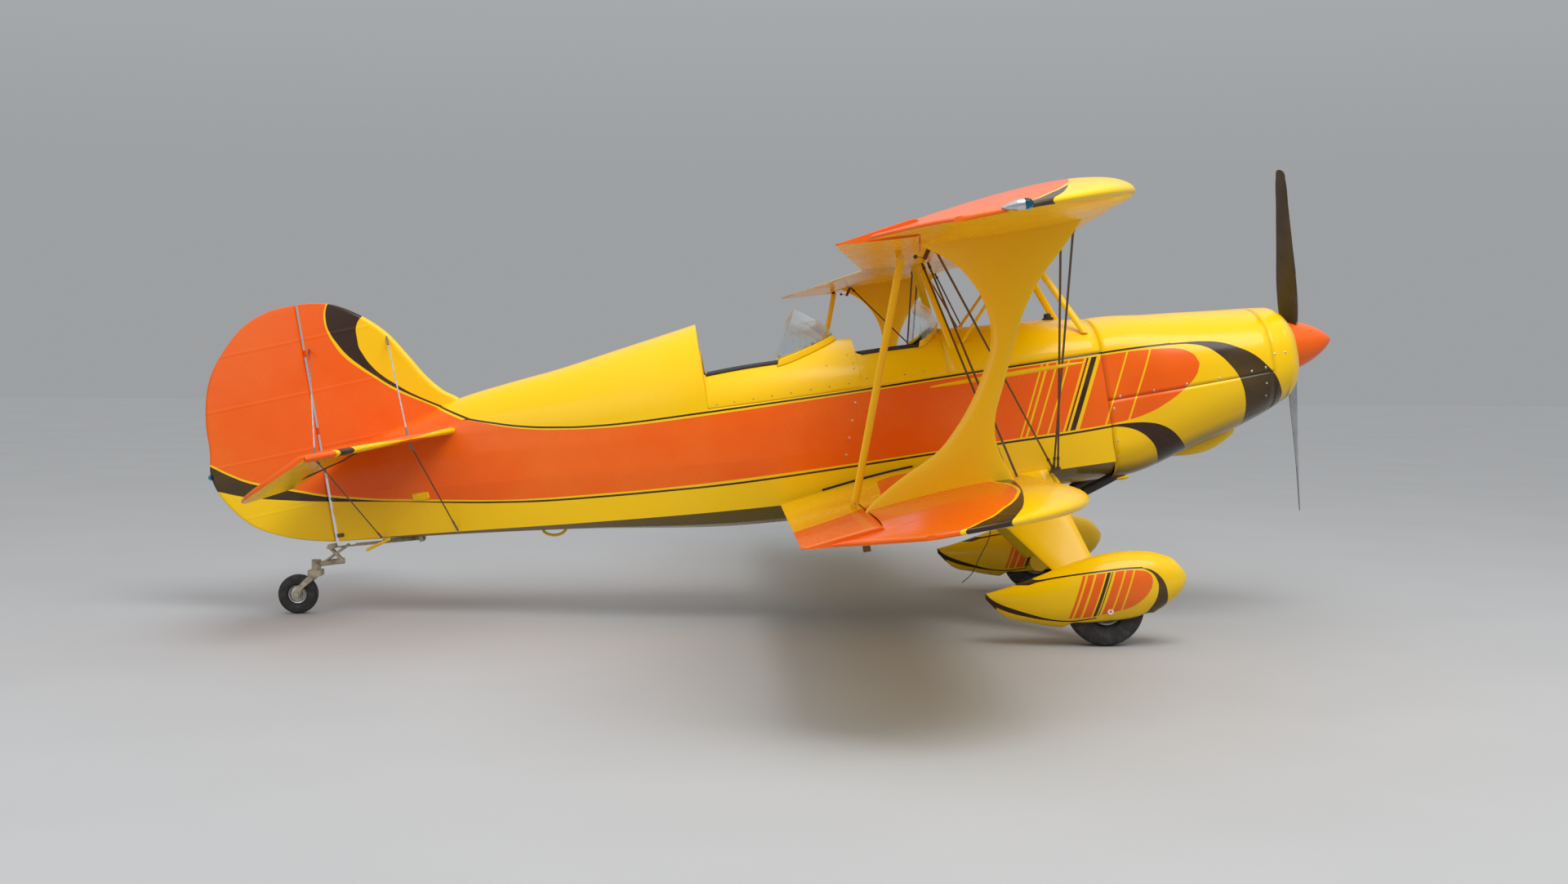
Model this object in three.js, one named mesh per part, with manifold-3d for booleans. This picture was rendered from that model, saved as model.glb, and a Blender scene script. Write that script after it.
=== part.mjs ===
// Two-seat aerobatic biplane, parked on its main wheels and its tail wheel.
// Millimetres. Airframe axes: x forward, y to the left, z up. Their origin is on the ground
// midway between the main wheels, and the whole airframe is then pitched nose-up about it.
import * as THREE from 'three';
import { mergeVertices } from 'three/addons/utils/BufferGeometryUtils.js';
import Module from 'manifold-3d';

const wasm = await Module();
wasm.setup();

const deg = THREE.MathUtils.degToRad;
const attitude = deg(9.5); // nose-up angle on its three wheels
const gap = 0.3; // between pieces that touch
const runningGap = 6; // round a control surface's nose

const stern = -3640;
const rearBulkhead = -1660;
const panelJoint = -450;
const firewall = 260;
const bowlJoint = 1240;
const seamHeight = 1118;
const thrustHeight = 1200;

// Lower hull. Columns: x, half width at the crease, belly, lower longeron, crease, upper longeron
const hullStations = [
  [stern, 20, 985, 990, 1215, 1440],
  [-3000, 150, 920, 945, 1180, 1420],
  [-2400, 240, 848, 897, 1146, 1390],
  [rearBulkhead, 332, 742, 846, 1092, 1362],
  [-950, 358, 700, 812, 1052, 1346],
  [panelJoint, 364, 688, 797, 1026, 1341],
  [firewall, 366, 674, 781, 1000, 1334],
];
const creaseStep = 6; // upper longeron stands this far inside the crease
const lowerStep = 26; // and the lower longeron this far
const tubWall = 24;
const deckWall = 10;

// Top centre line of the decking. Columns: x, height
const deckTops = [
  [-3395, 1482], [-3150, 1548], [-2920, 1610], [-2660, 1648], [-2400, 1677], [-2080, 1727],
  [rearBulkhead, 1794],
];
const coamingTops = [
  [rearBulkhead, 1655], [-1400, 1647], [-1200, 1634], [-950, 1602], [-700, 1592],
  [panelJoint, 1576], [-280, 1560], [0, 1545], [firewall, 1510],
];
// Columns: rear end x, front end x, half width, corner radius
const rearOpening = { rear: -1648, front: -1010, half: 272, corner: 110 };
const frontOpening = { rear: -886, front: -462, half: 268, corner: 100 };

// Engine cowl. Columns: x, half width, bottom, top, roundness exponent
const cowlStations = [
  [firewall + gap, 372, 676, 1509, 3.2],
  [420, 392, 682, 1495, 3.0],
  [700, 420, 752, 1471, 2.7],
  [1000, 428, 832, 1441, 2.5],
  [1150, 420, 885, 1427, 2.4],
  [bowlJoint, 396, 925, 1417, 2.4],
  [1283, 352, 953, 1392, 2.4],
  [1314, 290, 992, 1348, 2.4],
];
const cowlWall = 8;
const inlet = { y: 222, z: 1205, width: 130, height: 120 };

// Wings. Columns are named; distances along y are from the centre line
const chord = 1067;
const upper = {
  lead: 302, sweep: 0.1051, height: 1960, rise: 0, wash: 30, semi: 3660, round: 2950, root: 0, drop: 14,
  cut: 700,
};
const lower = {
  lead: -310, sweep: 0, height: 815, rise: 0.03, wash: -12, semi: 3505, round: 2800, root: 372, drop: 0,
  cut: 450,
};
const tipSweepBack = 0.74; // share of the chord that the round tip takes off the leading edge
const tipCurveBeyond = 15; // the tip's curve would close this far outside its last rib
const tipCut = 409; // and what the trailing edge loses, over a wing's cut in from its tip
const hingeBays = [1900, 2960];
const aileron = { inner: 1750, outer: 3200, aft: 275, nose: 35, sideGap: 8, ribPlay: 0.8, ribClear: 16 };
// Airfoil. Columns: share of chord, upper side, lower side as shares of chord
const airfoil = [
  [0, 0, 0], [0.02, 0.030, -0.020], [0.10, 0.064, -0.036], [0.30, 0.083, -0.041],
  [0.55, 0.066, -0.034], [0.78, 0.036, -0.022], [1, 0.003, -0.003],
];

const bay = 2454; // interplane strut's distance from the centre line
const strutThickness = 46;
// Aileron links' pins, seen from the hinge lines
const link = { bay: 2270, aftLower: 18, aftUpper: 62, rise: 62, eye: 14, eyeHalf: 7, topPlay: 3 };

const wheel = { radius: 180, width: 127, rim: 84, bore: 16, track: 978 };
const tailWheel = { radius: 100, width: 66, rim: 48, bore: 9, x: -3964, pivotX: -3872, headBottom: 225 };

const rudderHinge = { x: -3650, radius: 7, heights: [1560, 1960] };
const tailHeight = 1457;
const elevatorHinge = -3460;
const elevatorDroop = deg(25);
const tailThickness = 34;

const propeller = { x: 1368, hub: 58, hubRear: -36, hubFront: 40, lean: deg(15.7) };
const spinner = { back: 1338, length: 242, radius: 130 };

const paint = (color, roughness = 0.25, metalness = 0) =>
  new THREE.MeshStandardMaterial({ color, roughness, metalness });
const yellow = paint(0xf4c400);
const orange = paint(0xe85a0c);
const black = paint(0x161616, 0.6);
const rubber = paint(0x1b1b1c, 0.85);
const steel = paint(0x8d8f91, 0.35, 0.9);
const beige = paint(0xb9b29c, 0.5, 0.2);
const brown = paint(0x3d2f2a, 0.4);
const leather = paint(0x2a2422, 0.7);
const glass = new THREE.MeshStandardMaterial({
  color: 0xcfe8e4, roughness: 0.05, metalness: 0, transparent: true, opacity: 0.4,
});

const airframe = new THREE.Group();
airframe.rotation.y = -attitude;
const ground = new THREE.Group();
const v = (x, y, z) => new THREE.Vector3(x, y, z);

// A closed geometry as a solid: positions only, merged, without slivers
function toSolid(geometry) {
  const bare = new THREE.BufferGeometry();
  bare.setAttribute('position', geometry.getAttribute('position'));
  if (geometry.index) bare.setIndex(geometry.index);
  const merged = mergeVertices(bare, 1e-3);
  const all = merged.index.array;
  const kept = [];
  for (let i = 0; i < all.length; i += 3) {
    const [a, b, c] = [all[i], all[i + 1], all[i + 2]];
    if (a !== b && b !== c && c !== a) kept.push(a, b, c);
  }
  const vertProperties = new Float32Array(merged.getAttribute('position').array);
  if (signedVolume(vertProperties, kept) < 0) kept.reverse();
  return new wasm.Manifold(new wasm.Mesh({ numProp: 3, vertProperties, triVerts: new Uint32Array(kept) }));
}

function signedVolume(points, triangles) {
  const at = (i) => v(points[3 * i], points[3 * i + 1], points[3 * i + 2]);
  let sum = 0;
  for (let i = 0; i < triangles.length; i += 3) {
    sum += at(triangles[i]).dot(at(triangles[i + 1]).cross(at(triangles[i + 2])));
  }
  return sum;
}

function toGeometry(solid) {
  const mesh = solid.getMesh();
  const geometry = new THREE.BufferGeometry();
  geometry.setAttribute('position', new THREE.BufferAttribute(new Float32Array(mesh.vertProperties), 3));
  geometry.setIndex(new THREE.BufferAttribute(new Uint32Array(mesh.triVerts), 1));
  return geometry;
}

function add(name, solid, material, parent = airframe) {
  const mesh = new THREE.Mesh(toGeometry(solid), material);
  mesh.name = name;
  parent.add(mesh);
  return mesh;
}

const join = (solids) => solids.reduce((all, one) => all.add(one));

// A skin over equal rings of points, closed by a fan at each end
function loft(rings) {
  const count = rings[0].length;
  const points = rings.flat();
  const faces = [];
  for (let r = 0; r + 1 < rings.length; r += 1) {
    for (let i = 0; i < count; i += 1) {
      const j = (i + 1) % count;
      const [a, b, c, d] = [r * count + i, r * count + j, (r + 1) * count + j, (r + 1) * count + i];
      faces.push(a, b, c, a, c, d);
    }
  }
  const ends = [[rings[0], 0, true], [rings.at(-1), (rings.length - 1) * count, false]];
  for (const [ring, first, flip] of ends) {
    const centre = points.length;
    points.push(ring.reduce((sum, p) => sum.add(p), v(0, 0, 0)).divideScalar(count));
    for (let i = 0; i < count; i += 1) {
      const j = (i + 1) % count;
      faces.push(...(flip ? [centre, first + j, first + i] : [centre, first + i, first + j]));
    }
  }
  const geometry = new THREE.BufferGeometry().setFromPoints(points);
  geometry.setIndex(faces);
  return toSolid(geometry);
}

function box(x0, x1, y0, y1, z0, z1) {
  const geometry = new THREE.BoxGeometry(x1 - x0, y1 - y0, z1 - z0);
  geometry.translate((x0 + x1) / 2, (y0 + y1) / 2, (z0 + z1) / 2);
  return toSolid(geometry);
}

// A round bar between two points
function rod(a, b, radius, sides = 8, endRadius = radius) {
  const length = a.distanceTo(b);
  const geometry = new THREE.CylinderGeometry(endRadius, radius, length, sides);
  geometry.translate(0, length / 2, 0);
  const along = b.clone().sub(a).normalize();
  geometry.applyQuaternion(new THREE.Quaternion().setFromUnitVectors(v(0, 1, 0), along));
  geometry.translate(a.x, a.y, a.z);
  return toSolid(geometry);
}

// A streamlined bar: ellipse, long along x, carried from a to b
function blade(a, b, depth, width, sides = 10) {
  const ring = (centre) => Array.from({ length: sides }, (_, i) => {
    const angle = (2 * Math.PI * i) / sides;
    return v(centre.x + (depth / 2) * Math.cos(angle), centre.y + (width / 2) * Math.sin(angle), centre.z);
  });
  return loft([ring(a), ring(b)]);
}

// A plate in the x-z plane, of even thickness about y, with its rim rounded
function plate(points, y, thickness, rim) {
  const shape = new THREE.Shape(points.map(([x, z]) => new THREE.Vector2(x, z)));
  const geometry = new THREE.ExtrudeGeometry(shape, {
    depth: thickness - 2 * rim, bevelEnabled: rim > 0, bevelThickness: rim, bevelSize: rim,
    bevelOffset: -rim, bevelSegments: 1, steps: 1,
  });
  geometry.rotateX(Math.PI / 2);
  geometry.translate(0, y + thickness / 2 - rim, 0);
  return toSolid(geometry);
}

// Points along a smooth curve through the given ones
function smooth(points, steps) {
  const curve = new THREE.SplineCurve(points.map(([x, z]) => new THREE.Vector2(x, z)));
  return curve.getPoints(steps).map((p) => [p.x, p.y]);
}

// Straight-line reading of a table whose first column is x
function read(table, x) {
  let i = 0;
  while (i < table.length - 2 && x > table[i + 1][0]) i += 1;
  const [a, b] = [table[i], table[i + 1]];
  const t = (x - a[0]) / (b[0] - a[0]);
  return a.map((value, k) => value + (b[k] - value) * t);
}

const stationsBetween = (tables, from, to) => {
  const all = tables.flatMap((table) => table.map((row) => row[0]));
  const inner = all.filter((x) => x > from + 1 && x < to - 1);
  return [from, ...new Set(inner.sort((a, b) => a - b)), to];
};

// Cross-section of the lower hull, open side up at the upper longerons
function hullRing(x, grow, top) {
  const [, half, belly, low, crease, rail] = read(hullStations, x);
  const rightSide = [
    [half - creaseStep + grow, rail + top],
    [half + grow, crease],
    [Math.max(half - lowerStep, half * 0.6) + grow, low - grow],
    [half * 0.5, low + (belly - low) * 0.72 - grow],
  ];
  const ring = rightSide.map(([y, z]) => v(x, -y, z));
  ring.push(v(x, 0, belly - grow));
  ring.push(...rightSide.reverse().map(([y, z]) => v(x, y, z)));
  return ring;
}

const hull = (from, to, grow = 0, top = 0) =>
  loft(stationsBetween([hullStations], from, to).map((x) => hullRing(x, grow, top)));

// Cross-section of the decking above the longerons: half an ellipse
function deckRing(x, tops, grow, lift) {
  const [, half, , , , rail] = read(hullStations, x);
  const top = read(tops, x)[1];
  const ring = [];
  for (let i = 0; i <= 10; i += 1) {
    const angle = (Math.PI * i) / 10;
    const arch = rail + gap + (top + grow - rail - gap) * Math.sin(angle);
    const height = i === 0 || i === 10 ? rail + lift : arch;
    ring.push(v(x, (half - creaseStep + grow) * Math.cos(angle), height));
  }
  return ring;
}

const deck = (tops, from, to, grow = 0, lift = gap) =>
  loft(stationsBetween([hullStations, tops], from, to).map((x) => deckRing(x, tops, grow, lift)));

function openingCut({ rear, front, half, corner }, top) {
  const shape = new THREE.Shape();
  shape.moveTo(rear, -half);
  shape.lineTo(front - corner, -half);
  shape.absarc(front - corner, -half + corner, corner, -Math.PI / 2, 0);
  shape.absarc(front - corner, half - corner, corner, 0, Math.PI / 2);
  shape.lineTo(rear, half);
  const geometry = new THREE.ExtrudeGeometry(shape, { depth: 700, bevelEnabled: false, curveSegments: 4 });
  geometry.translate(0, 0, top - 700);
  return toSolid(geometry);
}

// Way through the fin and the hull for the tube that joins the elevators
const tubeHole = () =>
  rod(v(elevatorHinge, -200, tailHeight), v(elevatorHinge, 200, tailHeight), 24, 16);

function addFuselage() {
  const inside = hull(rearBulkhead + tubWall, firewall - tubWall, -tubWall, 60);
  add('fuselage_tub', hull(rearBulkhead, firewall).subtract(inside), yellow);

  add('rear_fuselage', hull(stern, rearBulkhead - gap).subtract(tubeHole()), yellow);
  const turtledeck = deck(deckTops, deckTops[0][0], rearBulkhead - gap);
  add('turtledeck', turtledeck, yellow);

  const shell = (from, to) => {
    const hollow = deck(coamingTops, from - 50, to + 50, -deckWall, -60);
    return deck(coamingTops, from, to).subtract(hollow);
  };
  const cockpitDeck = shell(rearBulkhead, panelJoint - gap)
    .subtract(openingCut(rearOpening, 2000))
    .subtract(openingCut(frontOpening, 2000));
  add('cockpit_deck', cockpitDeck, yellow);
  add('forward_deck', shell(panelJoint, firewall), yellow);
}

// Cross-section of the cowl: a superellipse
function cowlRing(x, shrink) {
  const [, half, bottom, top, exponent] = read(cowlStations, x);
  const [width, height, middle] = [half - shrink, (top - bottom) / 2 - shrink, (top + bottom) / 2];
  return Array.from({ length: 24 }, (_, i) => {
    const angle = (2 * Math.PI * (i + 0.5)) / 24;
    const part = (value) => Math.sign(value) * Math.abs(value) ** (2 / exponent);
    return v(x, width * part(Math.cos(angle)), middle + height * part(Math.sin(angle)));
  });
}

const cowl = (from, to, shrink = 0) =>
  loft(stationsBetween([cowlStations], from, to).map((x) => cowlRing(x, shrink)));

function addCowl() {
  const front = cowlStations.at(-1)[0];
  const start = cowlStations[0][0];
  const tube = cowl(start, bowlJoint - gap).subtract(cowl(start - 1, bowlJoint + 1, cowlWall));
  const above = box(0, 2000, -600, 600, seamHeight + gap / 2, 2200);
  const below = box(0, 2000, -600, 600, 0, seamHeight - gap / 2);
  add('cowl_upper', tube.intersect(above), yellow);
  const outlets = [-1, 1].map((side) => {
    const [near, far] = [side * (exhaust.y - 38), side * (exhaust.y + 38)].sort((a, b) => a - b);
    return box(0, exhaust.outletFront, near, far, 0, 730);
  });
  add('cowl_lower', tube.intersect(below).subtract(join(outlets)), yellow);

  let bowl = cowl(bowlJoint, front).subtract(cowl(bowlJoint - 1, front - cowlWall, cowlWall));
  bowl = bowl.subtract(rod(v(front - 200, 0, thrustHeight), v(front + 20, 0, thrustHeight), 62, 20));
  for (const side of [-1, 1]) {
    bowl = bowl.subtract(inletCut(front, side));
  }
  add('nose_bowl', bowl, yellow);
  addScoop();
  addEngine();
  addExhausts();
}

function inletCut(front, side) {
  const sides = 16;
  const ring = (x) => Array.from({ length: sides }, (_, i) => {
    const angle = (2 * Math.PI * i) / sides;
    const y = side * inlet.y + (inlet.width / 2) * Math.cos(angle);
    return v(x, y, inlet.z + (inlet.height / 2) * Math.sin(angle));
  });
  return loft([ring(front - 60), ring(front + 20)]);
}

// Air scoop under the cowl. Columns: x, half width, bottom
const scoopStations = [[600, 60, 735], [700, 118, 734], [800, 124, 724], [900, 122, 752], [985, 110, 800]];
const scoopWall = 7;

function addScoop() {
  const ring = (x, half, bottom, top) => {
    const round = 34;
    return [
      v(x, -half, top), v(x, -half, bottom + round), v(x, -half + round, bottom),
      v(x, half - round, bottom), v(x, half, bottom + round), v(x, half, top),
    ];
  };
  const body = loft(scoopStations.map(([x, half, bottom]) => ring(x, half, bottom, 960)));
  const mouthEnds = [[760, 112, 755], [986, 103, 807]];
  const mouth = loft(mouthEnds.map(([x, half, bottom]) => ring(x, half, bottom, 835)));
  const cowlOuter = cowl(cowlStations[0][0], bowlJoint - gap, -gap);
  add('air_scoop', body.subtract(cowlOuter).subtract(mouth), yellow);
}

const engine = { rear: 520, front: 1150, half: 340, bottom: 1010, top: 1300, shaft: 45 };

// Exhaust pipe's centre line. Columns: x, z
const exhaust = { y: 150, radius: 24, outletFront: 450 };
const exhaustPath = [
  [560, engine.bottom - gap], [548, 900], [490, 780], [410, 722], [316, 687], [155, 633],
];

function addEngine() {
  const block = box(engine.rear, engine.front, -engine.half, engine.half, engine.bottom, engine.top);
  const shaftEnd = propeller.x + propeller.hubRear - gap;
  const shaft = rod(v(engine.front - 5, 0, thrustHeight), v(shaftEnd, 0, thrustHeight), engine.shaft, 20);
  const mounts = [];
  for (const side of [-1, 1]) {
    mounts.push(rod(v(engine.rear + 20, side * 180, 1260), v(firewall - 5, side * 290, 1300), 13));
    mounts.push(rod(v(engine.rear + 20, side * 180, 1050), v(firewall - 5, side * 290, 850), 13));
  }
  const ahead = box(firewall + gap, 2000, -600, 600, 0, 2000);
  add('engine_block', join([block, shaft, ...mounts]).intersect(ahead), steel);
}

function addExhausts() {
  for (const [name, side] of [['exhaust_pipe_right', -1], ['exhaust_pipe_left', 1]]) {
    const pipe = new THREE.CatmullRomCurve3(exhaustPath.map(([x, z]) => v(x, side * exhaust.y, z)));
    const circle = new THREE.Shape().absarc(0, 0, exhaust.radius, 0, 2 * Math.PI);
    const geometry = new THREE.ExtrudeGeometry(circle, { steps: 12, extrudePath: pipe, curveSegments: 6 });
    const below = box(0, 2000, -600, 600, 0, engine.bottom - gap);
    add(name, toSolid(geometry).intersect(below), black);
  }
}

// The biggest of a solid's separate bodies
function largest(solid) {
  const bodies = solid.decompose();
  return bodies.sort((a, b) => b.volume() - a.volume())[0];
}

// Thins the wing towards its tip as a quarter ellipse
function tipTaper(plan, y) {
  const t = THREE.MathUtils.clamp((y - plan.round) / (plan.semi + tipCurveBeyond - plan.round), 0, 1);
  return Math.sqrt(1 - t * t);
}

const straightLead = (plan, y) => plan.lead - plan.sweep * y;
const straightTrail = (plan, y) => straightLead(plan, y) - chord;
const leadAt = (plan, y) => straightLead(plan, y) - tipSweepBack * chord * (1 - tipTaper(plan, y));
const trailAt = (plan, y) => {
  const t = THREE.MathUtils.clamp((y - plan.semi + plan.cut) / plan.cut, 0, 1);
  return straightTrail(plan, y) + tipCut * t ** 1.2;
};

function wingRing(plan, y, side, grow) {
  const [lead, trail] = [leadAt(plan, y) + grow, trailAt(plan, y) - grow];
  const [length, taper] = [lead - trail, tipTaper(plan, y)];
  const height = plan.height + plan.rise * y - plan.drop * (1 - taper);
  const point = (share, offset, extra) => {
    const aft = straightLead(plan, y) - lead + share * length;
    const thick = offset * length * taper;
    return v(lead - share * length, side * y, height - (plan.wash * aft) / chord + thick + extra);
  };
  const over = airfoil.map(([share, top]) => point(share, top, share > 0 ? grow : 0));
  const under = airfoil.slice(1).reverse().map(([share, , bottom]) => point(share, bottom, -grow));
  return [...over, ...under];
}

// One wing panel from y0 out to y1 on one side
function wing(plan, side, grow = 0, y0 = plan.root, y1 = plan.semi) {
  const span = plan.semi - plan.round;
  const tips = [0, 0.25, 0.45, 0.6, 0.72, 0.82, 0.9, 0.96, 1].map((t) => plan.round + t * span);
  const stations = [y0, aileron.inner, bay, ...tips].filter((y) => y > y0 + 1 && y < y1 - 1);
  return loft([y0, ...stations.sort((a, b) => a - b), y1].map((y) => wingRing(plan, y, side, grow)));
}

// Centre of the hinge line of an aileron at distance y
function hingePoint(plan, y, side) {
  const x = straightTrail(plan, y) + aileron.aft;
  const share = (chord - aileron.aft) / chord;
  const middle = (0.042 - 0.024) / 2; // half of the airfoil's sides there
  return v(x, side * y, plan.height + plan.rise * y - plan.wash * share + middle * chord);
}

// The room that an aileron takes, from its round nose to beyond the trailing edge; the wing's tip stays.
// clear is how far the room reaches ahead of the hinge line above and below the nose
function aileronRoom(plan, side, margin, endMargin, clear = margin) {
  const [inner, outer] = [aileron.inner - endMargin, aileron.outer + endMargin];
  const [a, b] = [hingePoint(plan, inner, side), hingePoint(plan, outer, side)];
  const nose = rod(a, b, aileron.nose + margin, 20);
  const slab = (p) => [
    v(p.x + clear, p.y, p.z - 150), v(p.x + clear, p.y, p.z + 150),
    v(p.x - 500, p.y, p.z + 150), v(p.x - 500, p.y, p.z - 150),
  ];
  return nose.add(loft([slab(a), slab(b)]));
}

const sides = [['right', -1], ['left', 1]];

// Pin at a link's end, on the side of the surface that the link comes from
function linkPin(plan, side) {
  const pin = hingePoint(plan, link.bay, side);
  pin.x -= plan === upper ? link.aftUpper : link.aftLower;
  pin.z += plan === upper ? -link.rise : link.rise;
  return pin;
}

// An aileron keeps the straight trailing edge to its end, where the wing's tip is already cut forward
function addAileron(name, plan, side, parentWing) {
  const uncut = wing({ ...plan, cut: 1 }, side, 0, plan.root, aileron.outer);
  const body = uncut.intersect(aileronRoom(plan, side, 0, -aileron.sideGap));
  const pin = linkPin(plan, side);
  const direction = plan === upper ? -1 : 1;
  const root = pin.z - direction * (link.rise - 2);
  const play = plan === upper ? link.topPlay : gap; // the swept hinge line carries the upper lug sideways
  const lugY = pin.y - side * (link.eyeHalf + play + 4);
  const [low, high] = [Math.min(pin.z, root), Math.max(pin.z, root)];
  const lug = box(pin.x - 22, pin.x + 6, lugY - 4, lugY + 4, low, high);
  const boss = rod(v(pin.x, lugY - 4, pin.z), v(pin.x, lugY + 4, pin.z), link.eye, 12);
  add(name, join([body, lug, boss]), orange);
  return parentWing.subtract(aileronRoom(plan, side, runningGap, 0)).add(hingeRibs(plan, side));
}

// Narrow ribs of the wing that reach back to the aileron's nose and carry its hinges
function hingeRibs(plan, side) {
  const slices = hingeBays.map((y) => box(-2000, 500, side * y - 8, side * y + 8, 500, 2300));
  const front = aileronRoom(plan, side, runningGap + 12, 20);
  const socket = aileronRoom(plan, side, aileron.ribPlay, 20, aileron.ribClear);
  return wing(plan, side).intersect(join(slices)).intersect(front).subtract(socket);
}

function addWings() {
  let top = wing(upper, -1).add(wing(upper, 1));
  for (const [word, side] of sides) {
    top = addAileron(`aileron_upper_${word}`, upper, side, top);
    const panel = addAileron(`aileron_lower_${word}`, lower, side, wing(lower, side));
    add(`lower_wing_${word}`, panel.subtract(hull(-1700, firewall, gap)).add(tieDown(side)), orange);
    addStrut(word, side);
    addLink(word, side);
  }
  add('upper_wing', top, orange);
}

const tieDownAt = { x: -560, y: bay, drop: 34, half: 22 };

// Flat tie-down pad under a lower wing, below the strut
function tieDown(side) {
  const { x, y, drop, half } = tieDownAt;
  const skin = lower.height + lower.rise * y - 40;
  return box(x - half, x + half, side * y - half, side * y + half, skin - drop, skin + 20);
}

// Interplane strut: an I-shaped fairing, its front and rear edges swept in at the waist
const strutRear = [
  [-760, 1930], [-620, 1830], [-560, 1750], [-524, 1660], [-513, 1560], [-525, 1486], [-564, 1403],
  [-625, 1300], [-702, 1204], [-797, 1118], [-951, 1041], [-1110, 945], [-1180, 880],
];
const strutFront = [
  [-480, 880], [-520, 997], [-546, 1064], [-558, 1142], [-546, 1224], [-501, 1329], [-428, 1493],
  [-382, 1593], [-284, 1729], [-176, 1835], [-90, 1930],
];

function addStrut(word, side) {
  const outline = [...smooth(strutRear, 15), ...smooth(strutFront, 12)];
  const whole = plate(outline.reverse(), side * bay, strutThickness, 14);
  const hingeX = hingePoint(lower, bay, side).x;
  const aileronSweep = box(hingeX - 300, hingeX + runningGap + 2, -bay - 100, bay + 100, 0, 1200);
  const wings = wing(upper, side, gap).add(wing(lower, side, gap));
  const trimmed = whole.subtract(wings).subtract(aileronSweep);
  add(`strut_${word}`, largest(trimmed), yellow);
}

function addLink(word, side) {
  const [low, high] = [linkPin(lower, side), linkPin(upper, side)];
  const eye = (p) => rod(v(p.x, p.y - link.eyeHalf, p.z), v(p.x, p.y + link.eyeHalf, p.z), link.eye, 12);
  add(`aileron_link_${word}`, join([blade(low, high, 32, 13), eye(low), eye(high)]), yellow);
}

// Cabane. Columns: foot x, foot y, foot z, head x, head y, head z, depth, width
const cabaneBars = [
  [262, 302, 1440, 34, 149, 1935, 40, 20],
  [-400, 300, 1440, -487, 140, 1935, 40, 20],
  [-400, 300, 1440, 62, 149, 1935, 22, 14],
];

function addCabanes() {
  const above = deck(coamingTops, rearBulkhead, firewall + 60, gap);
  const wingSkin = wing(upper, -1, gap).add(wing(upper, 1, gap));
  for (const [word, side] of sides) {
    const bars = cabaneBars.map(([x0, y0, z0, x1, y1, z1, depth, width]) =>
      blade(v(x0, side * y0, z0), v(x1, side * y1, z1), depth, width));
    const feet = box(-430, -370, side * 300 - 14, side * 300 + 14, 1440, 1520);
    add(`cabane_${word}`, largest(join([...bars, feet]).subtract(above).subtract(wingSkin)), yellow);
  }
}

// Bracing wires of one bay. Columns: from x, y, z, to x, y, z
const lowFitting = { rear: -22, front: 34, inner: 320, outer: 390, bottom: 778, top: 806 };
const wires = [
  [-10, 384, 800, -123, 2420, 1940],
  [12, 384, 800, -176, 2420, 1940],
  [-14, 384, 800, -690, 2420, 1940],
  [-485, 185, 1935, -500, 2420, 880],
  [-455, 185, 1935, -470, 2420, 880],
];
const wireRadius = 4.5;
const javelin = { y: 1432, z: 1336, rear: -667, front: 24, radius: 11 };

function addBracing() {
  const wingSkin = wing(upper, -1, gap).add(wing(upper, 1, gap));
  for (const [word, side] of sides) {
    const lines = wires.map(([x0, y0, z0, x1, y1, z1]) =>
      rod(v(x0, side * y0, z0), v(x1, side * y1, z1), wireRadius, 6));
    const middle = (javelin.rear + javelin.front) / 2;
    const at = (x) => v(x, side * javelin.y, javelin.z);
    const spear = rod(at(javelin.rear), at(middle), 2, 8, javelin.radius)
      .add(rod(at(middle), at(javelin.front), javelin.radius, 8, 2));
    const { rear, front, inner, outer, bottom, top } = lowFitting;
    const [near, far] = [side * inner, side * outer].sort((a, b) => a - b);
    const tab = box(rear, front, near, far, bottom, top);
    const trimmed = join([...lines, spear, tab])
      .subtract(wingSkin)
      .subtract(wing(lower, side, gap))
      .subtract(hull(rearBulkhead, firewall, gap));
    add(`bracing_${word}`, largest(trimmed), steel);
  }
}

// Fin and rudder outlines in side view, x and z
const finLead = [[-2905, 1600], [-2987, 1666], [-3057, 1748], [-3131, 1867], [-3225, 2007], [-3337, 2108],
  [-3505, 2197], [-3640, 2213]];
const rudderEdge = [[-3657, 2211], [-3790, 2202], [-3924, 2152], [-4048, 2046], [-4146, 1914], [-4208, 1683],
  [-4213, 1536], [-4229, 1420], [-4204, 1323], [-4149, 1229], [-4061, 1133], [-3946, 1068], [-3807, 1019],
  [-3657, 987]];
const finThickness = 40;

// Hinge barrel on the rudder's axis with its tab to the post ahead
function rudderKnuckle(height) {
  const { x, radius } = rudderHinge;
  const barrel = rod(v(x, 0, height - 18), v(x, 0, height + 18), radius, 12);
  return barrel.add(box(x, x + 11, -5, 5, height - 16, height + 16));
}

function addFinAndRudder() {
  const post = rudderHinge.x + 8;
  const outline = [...smooth(finLead, 16), [post, 1430], [-3390, 1430], [-2960, 1560]];
  const fin = plate(outline, 0, finThickness, 8)
    .subtract(deck(deckTops, deckTops[0][0] - gap, rearBulkhead, gap, -40))
    .subtract(hull(stern - 1, rearBulkhead, gap, gap))
    .subtract(tubeHole());
  add('fin', join([largest(fin), ...rudderHinge.heights.map(rudderKnuckle)]), orange);

  const front = rudderHinge.x - rudderHinge.radius - gap;
  const trailing = smooth(rudderEdge, 24).map(([x, z]) => [Math.min(x, front), z]);
  add('rudder', plate(trailing, 0, finThickness - 6, 8), orange);
}

// Tailplane half in plan, x and y, from its root round to the hinge
const tailplane = { rootX: -2905, tipX: -3351, tipY: 1190, endY: 1290 };
const elevatorTabs = [330, 900];
const elevator = { chord: 368, innerY: 62, innerAftY: 170, outerY: 1300 };

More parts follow.
